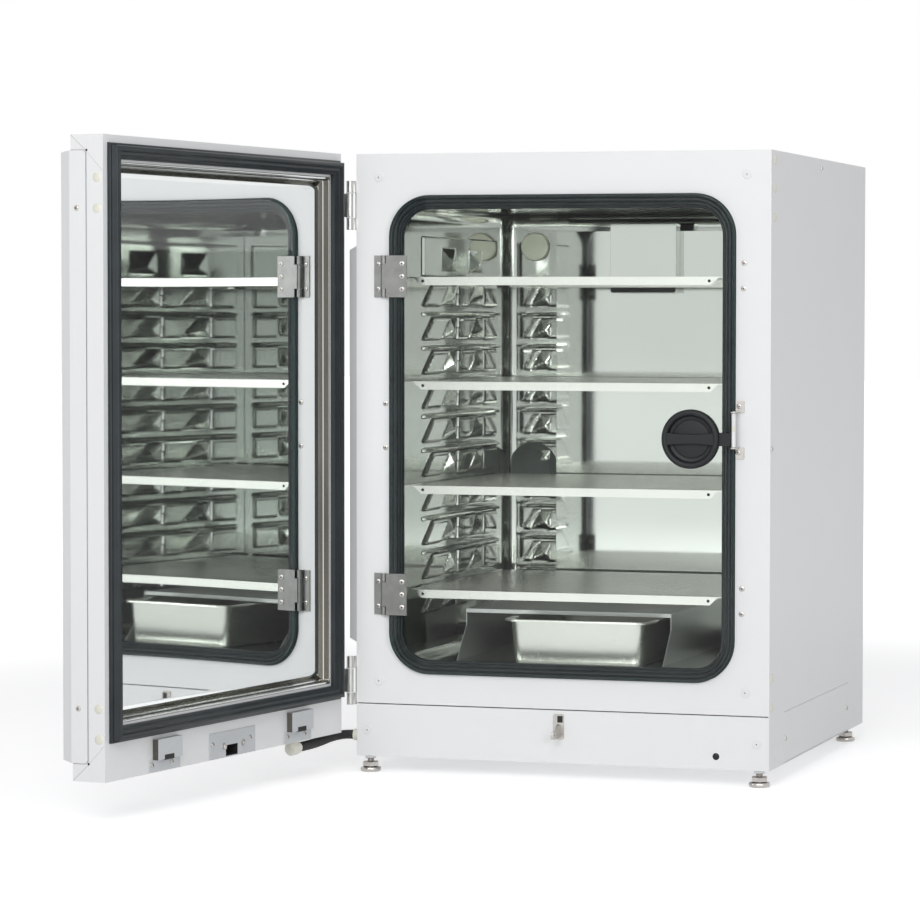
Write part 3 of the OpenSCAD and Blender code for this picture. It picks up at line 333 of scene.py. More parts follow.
# Finishes of single pieces, beside those of the record
FINISH |= finishes({
    "bright_steel": dict(colour=(0.655, 0.68, 0.645), metallic=1, roughness=0.045, tint=0.012,
                         rough_spread=0.03, bump=0.006, bump_scale=18),
    "satin_steel": dict(colour=(0.77, 0.78, 0.73), metallic=1, roughness=0.27, tint=0.02, tint_scale=14,
                        rough_spread=0.02),
    # dark steel for the mirror tray's wall, and painted shade on the sides of the catches' boxes
    "tray_wall": dict(colour=(0.16, 0.15, 0.13), metallic=1, roughness=0.22, tint=0.2, tint_scale=30,
                      stretch=(1, 1, 0.15)),
    "disc_grey": dict(colour=(0.2, 0.222, 0.213), tint=0.1, tint_scale=20, bump=0.1),
    "catch_grey": dict(colour=(0.6, 0.62, 0.64), roughness=0.35, tint=0.02),
    "hood_steel": dict(colour=(0.66, 0.68, 0.66), metallic=0.7, roughness=0.3, tint=0.04, tint_scale=12,
                       rough_spread=0.03),
    "filler": dict(colour=(0.62, 0.66, 0.7)),
    "leaf_steel": dict(colour=(0.24, 0.243, 0.235), metallic=1, roughness=0.34, tint=0.1, tint_scale=70,
                       bump=0.35, bump_scale=700),
    "glass_edge": dict(colour=(0.03, 0.09, 0.08), roughness=0.12, tint=0.1, tint_scale=12),
    # near-black for holes, slots, screw recesses and windows, which is painted shade, and for the door seal's
    # mitre joints
    "recess_black": dict(colour=(0.01, 0.01, 0.01), roughness=0.7, tint=0.2),
    "port_silicone": dict(colour=(0.93, 0.95, 0.79), metallic=0.6, roughness=0.33, tint=0.05, tint_scale=20,
                          bump=0.08),
    "rail_grey": dict(colour=(0.55, 0.56, 0.57), roughness=0.4, tint=0.02),
    "screen": dict(colour=(0.03, 0.07, 0.1), roughness=0.08, tint=0.1, Coat_Weight=0.6),
    "key_grey": dict(colour=(0.32, 0.34, 0.36), tint=0.04),
    # near-black plate of the fan box's intake slot: painted shade
    "slot_shade_grey": dict(colour=(0.035, 0.037, 0.036), tint=0.1),
    "seam": dict(colour=(0.4, 0.36, 0.33), roughness=0.7, tint=0.05),
})

# ---- building pieces

BOX_FACES = [(0, 1, 3, 2), (4, 6, 7, 5), (0, 4, 5, 1), (2, 3, 7, 6), (0, 2, 6, 4), (1, 5, 7, 3)]


class Shape:
    """Vertices in the cabinet's millimetres, faces and a material number for each face."""

    def __init__(self):
        self.verts, self.faces, self.marks = [], [], []

    def add(self, verts, faces, mark=0):
        start = len(self.verts)
        self.verts += [tuple(v) for v in verts]
        self.faces += [[start + i for i in f] for f in faces]
        self.marks += [mark] * len(faces)
        return self

    def box(self, x0, x1, d0, d1, h0, h1, mark=0):
        corners = [(x, d, h) for x in (x0, x1) for d in (d0, d1) for h in (h0, h1)]
        return self.add(corners, BOX_FACES, mark)

    def lathe(self, profile, centre, axis, steps=28, mark=0):
        """Turns a profile of (radius, distance along axis) points about a line through centre."""
        axis = Vector(axis).normalized()
        side = axis.orthogonal().normalized()
        other = axis.cross(side)
        rings = []
        for radius, along in profile:
            ring = []
            for k in range(steps):
                a = 2 * math.pi * k / steps
                rim = (side * math.cos(a) + other * math.sin(a)) * radius
                ring.append(Vector(centre) + axis * along + rim)
            rings.append(ring)
        return self.loops(rings, mark=mark)

    def loops(self, rings, closed=False, caps=True, mark=0):
        """Joins rings of equally many points, each to the next."""
        count = len(rings[0])
        points = [p for ring in rings for p in ring]
        last = len(rings) if closed else len(rings) - 1
        faces = []
        for i in range(last):
            here, there = i * count, (i + 1) % len(rings) * count
            faces += [(here + k, here + (k + 1) % count, there + (k + 1) % count, there + k)
                      for k in range(count)]
        if caps and not closed:
            faces += [list(range(count))[::-1], [(len(rings) - 1) * count + k for k in range(count)]]
        return self.add(points, faces, mark)

    def extrude(self, outline, d0, d1, mark=0):
        """A plate of an outline of (x, h) points, between two depths."""
        return self.loops([[(x, d, h) for x, h in outline] for d in (d0, d1)], mark=mark)


def build(name, shape, slot, body, mats="", bevel=0.0, segments=2, sharp=35.0, thick=0.0, replaces=""):
    """Makes a piece of a shape and lets it ride on a body.

    mats names its finishes, which the shape's marks count, and it has the slot's own finish without
    them. replaces names the CAD nodes that it stands for. The outer door's shapes are drawn closed.
    """
    mesh = bpy.data.meshes.new(name)
    mesh.from_pydata([place(*v) for v in shape.verts], [], shape.faces)
    bm = bmesh.new()
    bm.from_mesh(mesh)
    bmesh.ops.recalc_face_normals(bm, faces=bm.faces)
    bm.to_mesh(mesh)
    bm.free()
    if body == "outer_door":
        mesh.transform(SWING)
    for mat in (mats or slot).split():
        mesh.materials.append(FINISH[mat])
    mesh.polygons.foreach_set("material_index", shape.marks)
    return dress(name, mesh, body, bevel, segments, sharp, thick, replaces)


def dress(name, mesh, body, bevel, segments, sharp, thick, replaces):
    mesh.polygons.foreach_set("use_smooth", [True] * len(mesh.polygons))
    mesh.set_sharp_from_angle(angle=math.radians(sharp))
    piece = bpy.data.objects.new(name, mesh)
    bpy.context.scene.collection.objects.link(piece)
    if thick:
        wall = piece.modifiers.new("wall", "SOLIDIFY")
        wall.thickness = thick * MM
        wall.offset = -1
    if bevel:
        edge = piece.modifiers.new("edge", "BEVEL")
        edge.width = bevel * MM
        edge.segments = segments
        edge.limit_method = "ANGLE"
        edge.angle_limit = math.radians(32)
        edge.harden_normals = True
    if body:
        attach(piece, body)
    if replaces:
        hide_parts(*replaces.split())
    return piece


def refine(node, bevel, segments=2, mat=None):
    """The CAD node's own shape with rounded edges, in its place."""
    mesh = frame["nodes"][node].data.copy()
    bm = bmesh.new()
    bm.from_mesh(mesh)
    bmesh.ops.remove_doubles(bm, verts=bm.verts, dist=1e-5)
    bmesh.ops.dissolve_limit(bm, angle_limit=math.radians(0.6), verts=bm.verts, edges=bm.edges)
    bm.to_mesh(mesh)
    bm.free()
    mesh.materials.clear()
    mesh.materials.append(FINISH[mat or SLOT_OF[node]])
    return dress(node + "_finished", mesh, BODY_OF[node], bevel, segments, 35, 0, node)


def round_rect(width, height, radius, steps=10, centre=(0.0, OPENING_H)):
    """(x, h) points of a rectangle with round corners, anticlockwise."""
    points = []
    for k, (sx, sh) in enumerate(((1, 1), (-1, 1), (-1, -1), (1, -1))):
        for i in range(steps + 1):
            a = math.pi / 2 * (k + i / steps)
            points.append((centre[0] + sx * (width / 2 - radius) + radius * math.cos(a),
                           centre[1] + sh * (height / 2 - radius) + radius * math.sin(a)))
    return points


def framed(outline_at, profile):
    """Rings round an opening: outline_at(inset) gives the (x, h) outline, profile holds (inset, depth)."""
    outlines = [outline_at(inset) for inset, _ in profile]
    return [[(outlines[j][i][0], profile[j][1], outlines[j][i][1]) for j in range(len(profile))]
            for i in range(len(outlines[0]))]


# ---- chamber


# A row of pressed rests: the corners (depth, height about the row's middle) of its raised plates and
# noses, with each nose's tip last. On the back wall, x takes the place of the depth.
PLATES = (((104, -15), (176, -15), (217, 15), (145, 15)),
          ((258, -15), (303, -15), (344, 15), (262, 15)),
          ((384, -15), (446, -15), (446, 15), (384, 15)))
NOSES = (((176, -14), (250, -14), (253, 14), (217, 14), (227, -3)),
         ((303, -14), (375, -14), (378, 14), (344, 14), (362, -3)))
TOP_PLATE = ((104, -28), (450, -28), (450, 26), (104, 26))
TOP_NOSES = (((178, -22), (247, -22), (245, 12), (180, 12), (214, -12)),
             ((306, -22), (375, -22), (373, 12), (308, 12), (342, -12)))
REAR_PLATES = (((-217, -15), (-206, -15), (-190, 15), (-201, 15)),
               ((-176, -15), (-156, -15), (-156, 15), (-172, 15)))
REAR_NOSES = (((-207, -14), (-172, -14), (-170, 14), (-188, 14), (-181, -4)),)


def side_of(p, q, u, v):
    """Distance of the points (u, v) to the left of the line from p to q."""
    run = math.hypot(q[0] - p[0], q[1] - p[1])
    return ((q[0] - p[0]) * (v - p[1]) - (q[1] - p[1]) * (u - p[0])) / run


def plate(u, v, corners, rise, edge=3.0):
    """Height of a flat raised plate with sloping borders."""
    inside = np.minimum.reduce([side_of(a, b, u, v) for a, b in zip(corners, corners[1:] + corners[:1])])
    return rise * np.clip(inside / edge + 0.35, 0, 1)


def pressed_nose(u, v, corners, low, rise):
    """Height of a four-sided nose: flat faces from its corners up to a point."""
    base, tip = corners[:4], corners[4]
    faces = [side_of(a, b, u, v) / side_of(a, b, *tip) for a, b in zip(base, base[1:] + base[:1])]
    height = np.minimum.reduce(faces)
    return np.where(height > 0, low + (rise - low) * height, 0)


def ledge(u, v, start, end, middle, rise, half=1.5):
    """Height of the rounded ledge along the top of a row, faded at its ends."""
    run = np.clip(np.minimum((u - start) / 45, (end - u) / 9), 0, 1) ** 0.7
    return rise * run * np.sqrt(np.clip(1 - ((v - middle) / half) ** 2, 0, 1))


def side_rows(u, h):
    """Relief of a side wall: ten rows of rests below a row with two noses in a panel."""
    height = np.zeros_like(u)
    for k in range(ROWS):
        v = h - (ROW_TOP - ROW_PITCH * k)
        for corners in PLATES:
            height = np.maximum(height, plate(u, v, corners, 4.0))
        for corners in NOSES:
            height = np.maximum(height, pressed_nose(u, v, corners, 3.4, 7.6))
        height = np.maximum(height, ledge(u, v, 102, 450, LEDGE, 11.0))
    v = h - (ROW_TOP + 1.15 * ROW_PITCH)
    height = np.maximum(height, plate(u, v, TOP_PLATE, 3.0, 4.0))
    for corners in TOP_NOSES:
        height = np.maximum(height, 3 * (height > 0) + pressed_nose(u, v, corners, 0, 8.0))
    return height


def rear_rows(u, h):
    """Relief of the back wall's left strip: one nose in each row."""
    height = np.zeros_like(u)
    for k in range(ROWS):
        v = h - (ROW_TOP - ROW_PITCH * k)
        for corners in REAR_PLATES:
            height = np.maximum(height, plate(u, v, corners, 2.5))
        for corners in REAR_NOSES:
            height = np.maximum(height, pressed_nose(u, v, corners, 1.5, 7.0))
        height = np.maximum(height, ledge(u, v, -219, -154, LEDGE, 3.0))
    return height


def chamber_plan(corner=16.0, front=10.5, step=2.2):
    """The walls' line from above, from the left wall's front round to the right wall's.

    A row holds x, depth, the direction inwards, the coordinate along the wall, and the wall: 0 is
    left, 1 rear, 2 right and 3 a round corner.
    """
    side_d = np.arange(front, CHAMBER_BACK - corner, step)
    turn = np.linspace(0, math.pi / 2, 9)
    back_x = np.concatenate([np.arange(-CHAMBER_X + corner, -150, step),
                             np.linspace(-150, CHAMBER_X - corner, 12)])

    def round_corner(side, angles):
        return [(side * (CHAMBER_X - corner * (1 - math.cos(a))), CHAMBER_BACK - corner * (1 - math.sin(a)),
                 -side * math.cos(a), -math.sin(a), 0, 3) for a in angles]

    rows = [(-CHAMBER_X, d, 1, 0, d, 0) for d in side_d] + round_corner(-1, turn)
    rows += [(x, CHAMBER_BACK, 0, -1, x, 1) for x in back_x[1:-1]] + round_corner(1, turn[::-1])
    rows += [(CHAMBER_X, d, -1, 0, d, 2) for d in side_d[::-1]]
    return np.array(rows, float)


def chamber_levels(fillet=18.0, step=2.2):
    """Heights of the walls' rings, their insets at the foot and head, and which are straight."""
    low, high = CHAMBER_FLOOR + fillet, CHAMBER_TOP - fillet
    arc = np.linspace(0, math.pi / 2, 8)
    at_ledge = ROW_TOP + LEDGE + np.array([-1.6, -1.45, -0.8, 0, 0.8, 1.45, 1.6])
    middle = np.concatenate([np.arange(low + step, high, step)] +
                            [at_ledge - ROW_PITCH * k for k in range(ROWS)])
    middle = np.unique(middle.round(2))
    heights = np.concatenate([low - fillet * np.cos(arc), middle, high + fillet * np.sin(arc)])
    insets = np.concatenate([fillet * (1 - np.sin(arc)), np.zeros(len(middle)),
                             fillet * (1 - np.cos(arc))])
    return heights, insets, (heights > low) & (heights < high)


def chamber():
    """The stainless box: walls with pressed rests, round corners, floor and ceiling."""
    x, d, inward_x, inward_d, along, wall = chamber_plan().T
    heights, insets, straight = chamber_levels()
    u, h = np.meshgrid(along, heights)
    sides, rear = side_rows(u, h), rear_rows(u, h)
    rise = np.where((wall == 0) | (wall == 2), sides, np.where(wall == 1, rear, 0)) * straight[:, None]
    rise = rise + insets[:, None]
    rows, cols = rise.shape
    verts = np.stack([x + inward_x * rise, d + inward_d * rise, h], -1).reshape(-1, 3)
    faces = [(r * cols + c, r * cols + c + 1, (r + 1) * cols + c + 1, (r + 1) * cols + c)
             for r in range(rows - 1) for c in range(cols - 1)]
    faces.append(list(range(cols)))
    faces.append([(rows - 1) * cols + c for c in range(cols)][::-1])
    build("chamber_walls", Shape().add(verts, faces), "stainless", "root", thick=1.2, sharp=14,
          replaces="chamber_liner shelf_rests")


def chamber_rim():
    """Flange round the chamber's mouth, behind the gasket."""
    inner = round_rect(2 * CHAMBER_X, CHAMBER_TOP - CHAMBER_FLOOR, 26)
    outer = [(max(-271, min(271, x * 1.3)), OPENING_H + max(-359, min(359, (h - OPENING_H) * 1.3)))
             for x, h in inner]
    rim = Shape().loops([[(x, d, h) for x, h in ring] for ring, d in
                         ((inner, 9), (outer, 9), (outer, 10.3), (inner, 10.3))], closed=True)
    build("chamber_rim", rim, "stainless", "root")


def floor_vents():
    """Rimmed slots pressed in the chamber's floor on both sides of the pan."""
    shape = Shape()
    turn = np.linspace(0, 2 * math.pi, 17)[:-1]
    # (half width, half length, height) of the rings of the rim, then of its black floor, which is painted shade in
    # the slot
    levels = (((4.4, 10, 0.05), (4.2, 9.8, 1.1), (3.3, 8.6, 1.1), (3.1, 8.4, 0.6)),
              ((3.0, 8.3, 0.3), (3.0, 8.3, 0.6)))
    spots = [(side * (168 + 17 * j) + 6, 40 + 30 * i)
             for side in (-1, 1) for i in range(5) for j in range(3)]
    for x, d in spots:
        for mark, rings in enumerate(levels):
            shape.loops([[(x + a * math.cos(t), d + b * math.sin(t), CHAMBER_FLOOR + h) for t in turn]
                         for a, b, h in rings], mark=mark)
    build("floor_slots", shape, "stainless", "root", mats="stainless recess_black")


def fan_slot():
    """Intake slot along the lower edge of the fan box, drawn as a near-black plate: painted shade in the slot."""
    x0, x1, d, _, h, _ = box_mm("fan_housing")
    ring = round_rect(x1 - x0 - 1.5, 10.5, 3, 4, ((x0 + x1) / 2, h + 6.2))
    build("fan_slot", Shape().extrude(ring, d - 0.35, d + 0.3), "stainless", "root", mats="slot_shade_grey")


def chamber_seal():
    """Ribbed gasket round the opening, behind the glass."""
    width, height, radius = OPENING

    def outline(inset):
        return round_rect(width - 2 * inset, height - 2 * inset, radius - inset, steps=14)

    profile = [(0, 8), (0, -1.5), (0.8, -2.8), (3, -3.4), (4.4, -2.6), (5.4, -1.4), (6.6, -2.6), (8.4, -3.4),
               (9.9, -2.8), (10.6, -1.2), (11.6, -0.4), (12.8, -1.4), (14.4, -1.9), (15.8, -1), (16.6, 0.6),
               (17.8, 0), (19, 0.6), (19.8, 2.2), (20, 8.6)]
    shape = Shape().loops(framed(outline, profile), closed=True)
    build("chamber_seal", shape, "gasket_rubber", "root", sharp=50, replaces="chamber_gasket")


def perforated_sheet(gx, gd, top, sheet, bore=3.1):
    """A sheet over the grid lines gx and gd, with an eight-sided hole in each cell."""
    angles = np.radians(22.5 + 45 * np.arange(8))
    verts, faces = [(x, d, h) for h in (top, top - sheet) for d in gd for x in gx], []
    row = len(gx)
    for j in range(len(gd) - 1):
        for i in range(row - 1):
            cx, cd = (gx[i] + gx[i + 1]) / 2, (gd[j] + gd[j + 1]) / 2
            ring = []
            for h in (top, top - sheet):
                ring.append(len(verts))
                verts += [(cx + bore * math.cos(a), cd + bore * math.sin(a), h) for a in angles]
            for side, base in enumerate(ring):
                c = [side * row * len(gd) + j * row + i + e for e in (0, 1, row + 1, row)]
                # the hole's points in turn, from the two that face corner 0
                q = [base + (k + 4) % 8 for k in range(9)]
                faces += [(c[k], c[(k + 1) % 4], q[2 * k + 2], q[2 * k + 1]) for k in range(4)]
                faces += [(c[k], q[2 * k + 1], q[2 * k]) for k in range(4)]
            near, far = ring
            faces += [(near + k, near + (k + 1) % 8, far + (k + 1) % 8, far + k) for k in range(8)]
    return Shape().add(verts, faces)


def shelf(index):
    """Perforated shelf with folded lips front and back."""
    x0, x1, d0, d1, bottom, top = box_mm(f"shelf_{index}")
    sheet, margin, pitch = 1.2, 13.0, 9.6
    gx, gd = (np.linspace(a + margin, b - margin, round((b - a - 2 * margin) / pitch) + 1)
              for a, b in ((x0, x1), (d0, d1)))
    shape = perforated_sheet(gx, gd, top, sheet)
    for border in ((x0, x1, d0, gd[0]), (x0, x1, gd[-1], d1),
                   (x0, gx[0], gd[0], gd[-1]), (gx[-1], x1, gd[0], gd[-1])):
        shape.box(*border, top - sheet, top)
    cut = 6.0 + (top - bottom)
    lip = [(x0 + 6, top - sheet), (x0 + cut, bottom), (x1 - cut, bottom), (x1 - 6, top - sheet)]
    for d in (d0, d1 - sheet):
        shape.extrude(lip, d, d + sheet)
    # Two black discs on the front lip, where it has holes: painted shade.
    for x in (x0 + 20, x1 - 20):
        shape.lathe([(2.2, 0), (2.2, 0.5)], (x, d0 - 0.3, (top + bottom) / 2), (0, 1, 0), 16, mark=1)
    build(f"perforated_shelf_{index}", shape, "stainless", f"shelf_{index}",
          mats="satin_steel recess_black", replaces=f"shelf_{index}")


def pan():
    """Drawn pan with leaning walls and a rolled rim."""
    x0, x1, d0, d1, h0, h1 = box_mm("humidity_pan")
    centre = ((x0 + x1) / 2, (d0 + d1) / 2)

    def ring(inset, h, radius):
        outline = round_rect(x1 - x0 - 2 * inset, d1 - d0 - 2 * inset, radius, 8, centre)
        return [(x, d, h) for x, d in outline]

    # (inset, height, corner radius), from the middle of the underside over the rim to the inner floor
    profile = [(20, 0, 9), (16, 0.8, 12), (13.5, 3.2, 14), (12.6, 7, 15), (8.6, 58, 18), (7.2, 62.6, 19),
               (4.6, 64.6, 20), (1.4, 64.4, 22), (0.2, 62.6, 22), (0, 63.8, 22), (0.8, 65.6, 22),
               (5, 65.9, 20), (8.2, 64.2, 19), (9.8, 60, 18), (13.8, 7, 15), (15.6, 3.6, 13), (21, 1.6, 9)]
    shape = Shape().loops([ring(i, h0 + min(h, h1 - h0), r) for i, h, r in profile])
    build("water_pan", shape, "stainless", "humidity_pan", mats="satin_steel", replaces="humidity_pan")


# ---- fasteners, caps and feet


def cross_screw(shape, centre, axis, radius=4.0, rise=1.5):
    """Pan-head screw with a cross recess."""
    c, a = Vector(centre), Vector(axis).normalized()
    shape.lathe([(radius * 0.55, -0.3), (radius, -0.1), (radius, rise * 0.25), (radius * 0.93, rise * 0.6),
                 (radius * 0.72, rise * 0.88), (radius * 0.4, rise)], c, a, 24)
    side = a.orthogonal().normalized()
    # The cross recess is two bars with the second finish, which the callers make black: painted shade in the
    # recess.
    for turn in (0.4, 0.4 + math.pi / 2):
        arm = Matrix.Rotation(turn, 3, a) @ side
        over = a.cross(arm)
        start, end = c + a * (rise * 0.6), c + a * (rise * 1.06)
        corners = [p + arm * (s * radius * 0.52) + over * (t * 0.42)
                   for p in (start, end) for s in (-1, 1) for t in (-1, 1)]
        shape.add(corners, BOX_FACES, 1)


def dome(shape, centre, axis, radius, rise, mark=0):
    """Adds a domed cap to a shape."""
    profile = [(radius * math.cos(a), rise * math.sin(a)) for a in np.radians([0, 25, 50, 70, 85])]
    shape.lathe([(radius, -0.3), *profile], centre, axis, 28, mark)


def cabinet_screws():
    """Screws of the frame, the keeper, the hinge leaves and the right side."""
    shape = Shape()
    for x, h in ((271, 718), (270.5, 682), (269.5, 258), (269, 222), (-265, 515), (-265, 451)):
        cross_screw(shape, (x, 0, h), FRONT)
    for x, h in ((263.5, 451), (265, 516)):
        cross_screw(shape, (x, -2, h), FRONT, 3.7)
    for mid in LEAF_MIDDLES:
        for rise in (-18, 18):
            cross_screw(shape, (-275.5, -2, mid + rise), FRONT, 3.4)
    for d, h in ((317, 863), (9, 456), (101, 36), (508, 36)):
        cross_screw(shape, (HALF_W, d, h), RIGHT)
    mats = "nickel recess_black"
    build("frame_screws", shape, "nickel", "root", mats=mats, replaces="cabinet_screws")
    leaf = Shape()
    for mid in LEAF_MIDDLES:
        for k in (-1, 0, 1):
            cross_screw(leaf, (-236, -11, mid + 18.5 * k), FRONT, 3.8)
            leaf.lathe([(3.5, 0), (3.5, 1.6), (3, 2)], (-236, -4, mid + 18.5 * k), REAR, 6)
    build("leaf_screws", leaf, "nickel", "glass_door", mats=mats, replaces="glass_leaf_screws")


def caps():
    """White screw caps on the front, cream plugs on the right side."""
    shape = Shape()
    cap = [(7, 0), (7, 0.9), (6.3, 1.3), (5, 1.35), (4.6, 0.95), (3.4, 0.95), (3, 1.5), (1.2, 1.9)]
    for x, h in ((-275, 843), (275, 843), (-275, 110.5), (275, 110.5), (-293, 38), (292, 38)):
        shape.lathe(cap, (x, 0, h), FRONT, 32)
        # A black dot on each white cap's middle: painted shade of its dimple.
        shape.lathe([(0.9, 0), (0.9, 0.12)], (x, -1.86, h), FRONT, 12, mark=2)
    for d, h in ((22, 863), (20, 822.5), (20, 782.5), (14, 130), (14, 89.5)):
        dome(shape, (HALF_W, d, h), RIGHT, 7, 2.4, mark=1)
    dome(shape, (HALF_W, 47, 25), RIGHT, 17, 1.6)
    dome(shape, (232.5, 0, 18.5), FRONT, 5, 1.4, mark=2)
    build("caps", shape, "cream_plastic", "root", mats="white_plastic cream_plastic black_plastic",
          replaces="caps_and_plugs")


def door_fasteners():
    """Plugs, screws and nuts of the outer door."""
    shape = Shape()
    for h in (821, 781, 130, 90):
        dome(shape, (HALF_W, INNER - 9.2, h), RIGHT, 6.5, 1.55, mark=2)
    for h in (781.5, 129.5):
        cross_screw(shape, (FLANGE_X, INNER - 40, h), RIGHT, 3.8)
    for x, h in ((199, 44.5), (151, 44.5), (-154, 44.5), (-201.5, 44.5), (-51, 55), (47, 55)):
        cross_screw(shape, (x, INNER + 1.5, h), REAR, 3.7)
    nut = [(4.6, 0), (4.6, 2.2), (3.8, 2.6), (1.9, 2.6), (1.9, 3.6)]
    for x in (-32, 18):
        shape.lathe(nut, (x, INNER + 1.5, 50), REAR, 6)
    # Black slots on the catches' faces: painted shade in the slots.
    for x in (156, -194):
        shape.box(x + 0.1, x + 23.9, INNER + 4.2, INNER + 8.7, 50.1, 56.9, mark=1)
    build("door_screws_and_plugs", shape, "cream_plastic", "outer_door",
          mats="nickel recess_black cream_plastic", replaces="door_fasteners")


def catch_and_lock_details():
    """Painted shade: dark sheets on the sides of the catches' boxes, and a black lining in the lock's window."""
    shape = Shape()
    for x in (196, -154):
        shape.box(x, x + 0.3, INNER + 0.4, INNER + 8.8, 51.2, 78.8)
    x0, x1, t0, t1, h0, h1, wall = -17.9, 12.9, INNER - 20.9, INNER + 1.3, 36.1, 50.9, 0.4
    for box in ((x0, x1, t0, t0 + wall, h0, h1), (x0, x1, t0, t1, h1 - wall, h1),
                (x0, x1, t0, t1, h0, h0 + wall), (x0, x0 + wall, t0, t1, h0, h1)):
        shape.box(*box, mark=1)
    build("catch_sides_and_lock_lining", shape, "white_plastic", "outer_door",
          mats="tray_wall recess_black")


def strike():
    """Plate with a window and a hook that the lock's bolt crosses."""
    shape = Shape().extrude(round_rect(16, 36, 3, 4, (-1, 53)), -2, -0.05)
    # A thin black sheet in the plate's window: painted shade.
    shape.box(-2.5, 5.5, -2.25, -2.0, 59, 68.5, mark=1)
    hook = [(-1, 37.6), (-32.5, 37.6), (-34, 39), (-34, 46.5), (-33.2, 48), (-32.2, 47), (-32.2, 41),
            (-31, 39.3), (-25, 39.3), (-23.8, 41), (-23.8, 46.5), (-21, 48), (-13, 50), (-8, 55), (-1, 57)]
    shape.loops([[(x, d, h) for d, h in hook] for x in (-3, 1)])
    build("strike_hook", shape, "nickel", "root", mats="nickel recess_black", bevel=0.35, replaces="strike")


def feet():
    """Levelling feet: pad, hexagon, thread and lock nut."""
    pad = [(12.5, 0), (14.4, 0.7), (15, 2.2), (15, 5), (14.2, 6.4), (12, 7), (5, 7.2)]
    hexagon = [(10.8, 7.2), (12.4, 8.2), (12.4, 14), (10.8, 15)]
    thread = [(5 if k % 2 else 4.35, 15 + 0.75 * k) for k in range(49)]
    for name in ("front_left", "front_right", "rear_left", "rear_right"):
        x0, x1, d0, d1, *_ = box_mm("foot_" + name)
        x, d = (x0 + x1) / 2, (d0 + d1) / 2
        base = -BODY_Z / MM
        shape = Shape()
        for profile, steps in ((pad, 40), (hexagon, 6), (thread, 24)):
            shape.lathe(profile, (x, d, base), UP, steps)
        shape.lathe([(8, 19.6), (9, 20.2), (9, 23), (8, 23.6)], (x, d, base), UP, 6, mark=1)
        build("levelling_foot_" + name, shape, "nickel", "foot_" + name, mats="nickel zinc_plate",
              replaces="foot_" + name)


# ---- glass door and latch


def knob():
    """Latch knob: rim, sunk dish, waisted grip bar and the tongue to the keeper."""
    x0, _, _, _, h0, h1 = box_mm("knob")
    x, h = x0 + 42, (h0 + h1) / 2
    rim = [(39, 10.1), (41.2, 11), (42, 13), (42, 20), (41, 22.6), (38.6, 24), (36.4, 24), (34.6, 23),
           (33.4, 20.5), (32, 15.6), (27.5, 14.6), (26.8, 15.4), (25.8, 15.6), (5, 15.6)]
    shape = Shape().lathe(rim, (x, 0, h), FRONT, 72)
    shape.lathe([(6, -2), (6, 12)], (x, 0, h), FRONT, 32)
    build("knob_dish", shape, "black_plastic", "knob", sharp=40, replaces="knob")
    waist, half, reach = 6.6, 9.2, 35.0
    edge = [(v, waist + (half - waist) * (v / reach) ** 2) for v in np.linspace(-reach, reach, 21)]
    bar = [(x + a, h + b) for a, b in edge] + [(x + a, h - b) for a, b in edge[::-1]]
    build("knob_grip", Shape().extrude(bar, -22.8, -12), "black_plastic", "knob", bevel=1.1, segments=3)
    end, wide = 58.6, 9.4
    arc = [(end * math.cos(a), end * math.sin(a)) for a in np.radians(np.linspace(-9.2, 9.2, 9))]
    outline = [(x + 36, h - wide)] + [(x + a, h + b) for a, b in arc] + [(x + 36, h + wide)]
    build("knob_tongue", Shape().extrude(outline, -18, -12), "black_plastic", "knob", bevel=0.8)


def glass_rim():
    """Ground green edge of the glass, just inside the pane's outline."""
    width, height, radius = OPENING[0] - 5, OPENING[1] - 5, OPENING[2] - 2.5

    def outline(inset):
        return round_rect(width - 2 * inset, height - 2 * inset, radius - inset, steps=14)

    profile = [(-0.15, -8.9), (-0.15, -4.1), (0.1, -4.1), (0.1, -8.9)]
    shape = Shape().loops(framed(outline, profile), closed=True)
    build("glass_edge", shape, "clear_glass", "glass_door", mats="glass_edge")


def keeper_details():
    """Keeper roller: a white sleeve at each end and a cream one between them."""
    x0, x1, d0, d1, h0, h1 = box_mm("keeper_roller")
    base, top = ((x0 + x1) / 2, (d0 + d1) / 2, h0), h1 - h0
    low = [(1.5, 0), (1.5, 2.6), (2.7, 2.7), (3, 3.1), (3, 24), (2.8, 24.4)]
    high = [(2.8, 33), (3, 33.4), (3, top - 3.1), (2.7, top - 2.7), (1.5, top - 2.6), (1.5, top)]
    shape = Shape().lathe(low, base, UP, 24)
    shape.lathe([(3, 24.4), (3, 33)], base, UP, 24, mark=1)
    shape.lathe(high, base, UP, 24)
    build("roller", shape, "cream_plastic", "keeper_roller", mats="white_plastic cream_plastic",
          replaces="keeper_roller")


# ---- outer door


